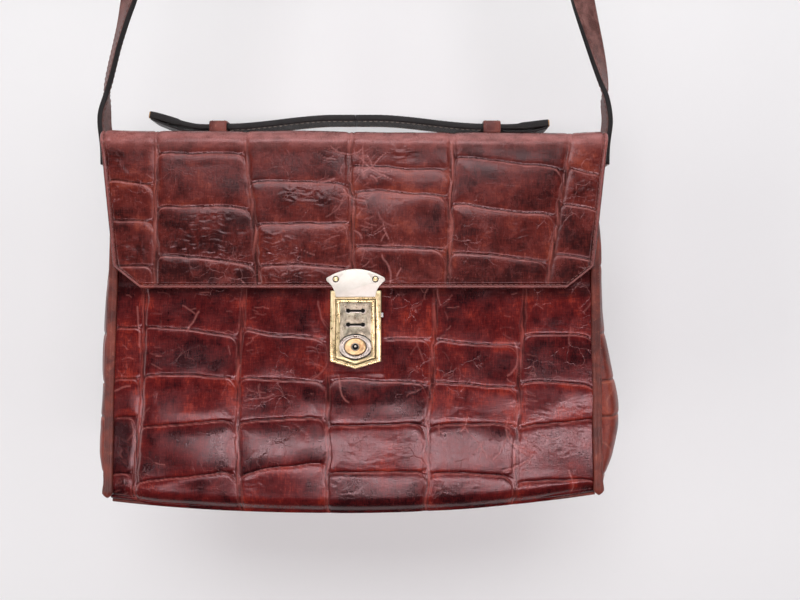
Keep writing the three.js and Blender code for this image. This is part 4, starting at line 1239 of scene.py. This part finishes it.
def flap_stitches():
    inset, lift = 2.6, 0.3
    run = np.linspace(12, FLAP_BOTTOM + inset, 130)
    section, at = front_section(0, FLAP_BOTTOM, 1.0)
    y, z = (np.interp(run, at, column) for column in section.T)
    half = flap_half_width(run)
    x = half - inset * np.sqrt(1 + np.gradient(half, run) ** 2)
    n = np.cross(X, tangents(spread(0, y, z)))
    n *= np.sign(n @ np.array([0, -1.0, 0.6]))[:, None]
    roll = bell(run - 1.0, 8.0)[:, None]
    lines = [(spread(s * x, y, z) + n * (lift + (2.1 - 0.6 * s) * roll), n) for s in (-1, 1)]
    bottom = spread(np.linspace(-x[-1], x[-1], 60), y[-1], z[-1])
    lines.append((bottom + n[-1] * lift, np.tile(n[-1], (60, 1))))
    threads = stitch_object("flap_stitches", lines, 2.5, 1.1, 0.27)
    dress(threads, "thread", "oxblood")
    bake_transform(threads)


# ---------------------------------------------------------------- stage, light and camera

def backdrop():
    """A wall that lets everything through from behind, so that the bag's back can be looked at."""
    paint = (0.8, 0.81, 0.805)
    s = Shader("backdrop", Roughness=0.9)
    s.feed(s.bsdf, {"Base Color": s.mix(s.noise(3, 2, 0.5), paint, shade(paint, 0.985))})
    behind = s.node("NewGeometry", "Backfacing")
    clear = s.node("BsdfTransparent", 0)
    either = s.node("MixShader", 0, {0: behind, 1: s.bsdf.outputs[0], 2: clear})
    s.feed(s.tree.nodes["Material Output"], {"Surface": either})
    wall_y, floor_z, top_z, reach = 0.165, TOP / 1000 - 1.3, 1.6, 3.0
    corners = [(-reach, floor_z), (reach, floor_z), (reach, top_z), (-reach, top_z)]
    mesh = bpy.data.meshes.new("backdrop_wall")
    mesh.from_pydata([(x, wall_y, z) for x, z in corners], [], [(0, 1, 2, 3)])
    mesh.materials.append(s.material)
    new_object("backdrop_wall", mesh)


def sky():
    """A room that is bright above the horizon and dim below it."""
    world = bpy.data.worlds.new("room")
    bpy.context.scene.world = world
    world.use_nodes = True
    n = Nodes(world.node_tree, "Generated")
    strength = n.ramp(n.node("SeparateXYZ", "Z", {0: n.coords}), 0.28, 0.75, 0.05, 0.5)
    n.feed(n.tree.nodes["Background"], {"Color": (0.93, 0.96, 1.0, 1), "Strength": strength})


MIDDLE = (0, 0, TOP / 1000 - 0.12)
# Name, place from the middle of the bag in metres, size, power in watts and colour
LIGHTS = (
    ("window", (-0.1, -1.5, 0.92), (1.2, 0.5), 12, (0.98, 0.97, 1.0)),
    ("ceiling", (0.25, -0.75, 1.5), (1.6, 1.0), 7.5, (1.0, 1.0, 1.0)),
    ("left_wall", (-1.7, -1.0, -0.3), (0.9, 1.2), 14, (1.0, 0.99, 0.98)),
    ("right_wall", (1.7, -1.0, -0.1), (0.9, 1.2), 9.5, (0.99, 0.99, 1.0)),
    ("low_strip", (0.1, -1.3, -0.232), (1.5, 0.08), 9.5, (1.0, 0.87, 0.91)),
    ("back_fill", (0.3, 1.5, 0.7), (1.2, 1.2), 10, (1.0, 1.0, 1.0)),
)


def area_light(name, offset, size, power, color):
    data = bpy.data.lights.new(name, "AREA")
    data.shape = "RECTANGLE"
    data.size, data.size_y = size
    data.energy = power
    data.color = color
    obj = new_object(name, data)
    obj.location = Vector(MIDDLE) + Vector(offset)
    obj.rotation_euler = Vector(offset).to_track_quat("Z", "Y").to_euler()


def camera():
    data = bpy.data.cameras.new("camera")
    data.sensor_width = 36
    data.lens = 28
    data.clip_start = 0.01
    obj = new_object("camera", data)
    obj.location = (0.032, -0.4546, (TOP - 117.5) / 1000)
    obj.rotation_euler = (math.radians(90), 0, 0)
    bpy.context.scene.camera = obj
    bpy.context.scene.view_settings.view_transform = "Standard"


camera()
sky()
for values in LIGHTS:
    area_light(*values)
backdrop()
flap_front_leather()
back_leather()
front_leather()
SIDES = ((-1, "left"), (1, "right"))
for side, label in SIDES:
    gusset(side, label)
    for face, face_label in ((-1, "front"), (1, "back")):
        ridge(side, label, face, face_label)
base_leather()
flap_linings()
body_lining()
divider()
pocket()
top_binding()
for side, label in SIDES:
    handle(side, label)
    handle_end(side, label)
    keeper(side, label)
shoulder_strap()
flap_stitches()
metal_parts()
lock_details()
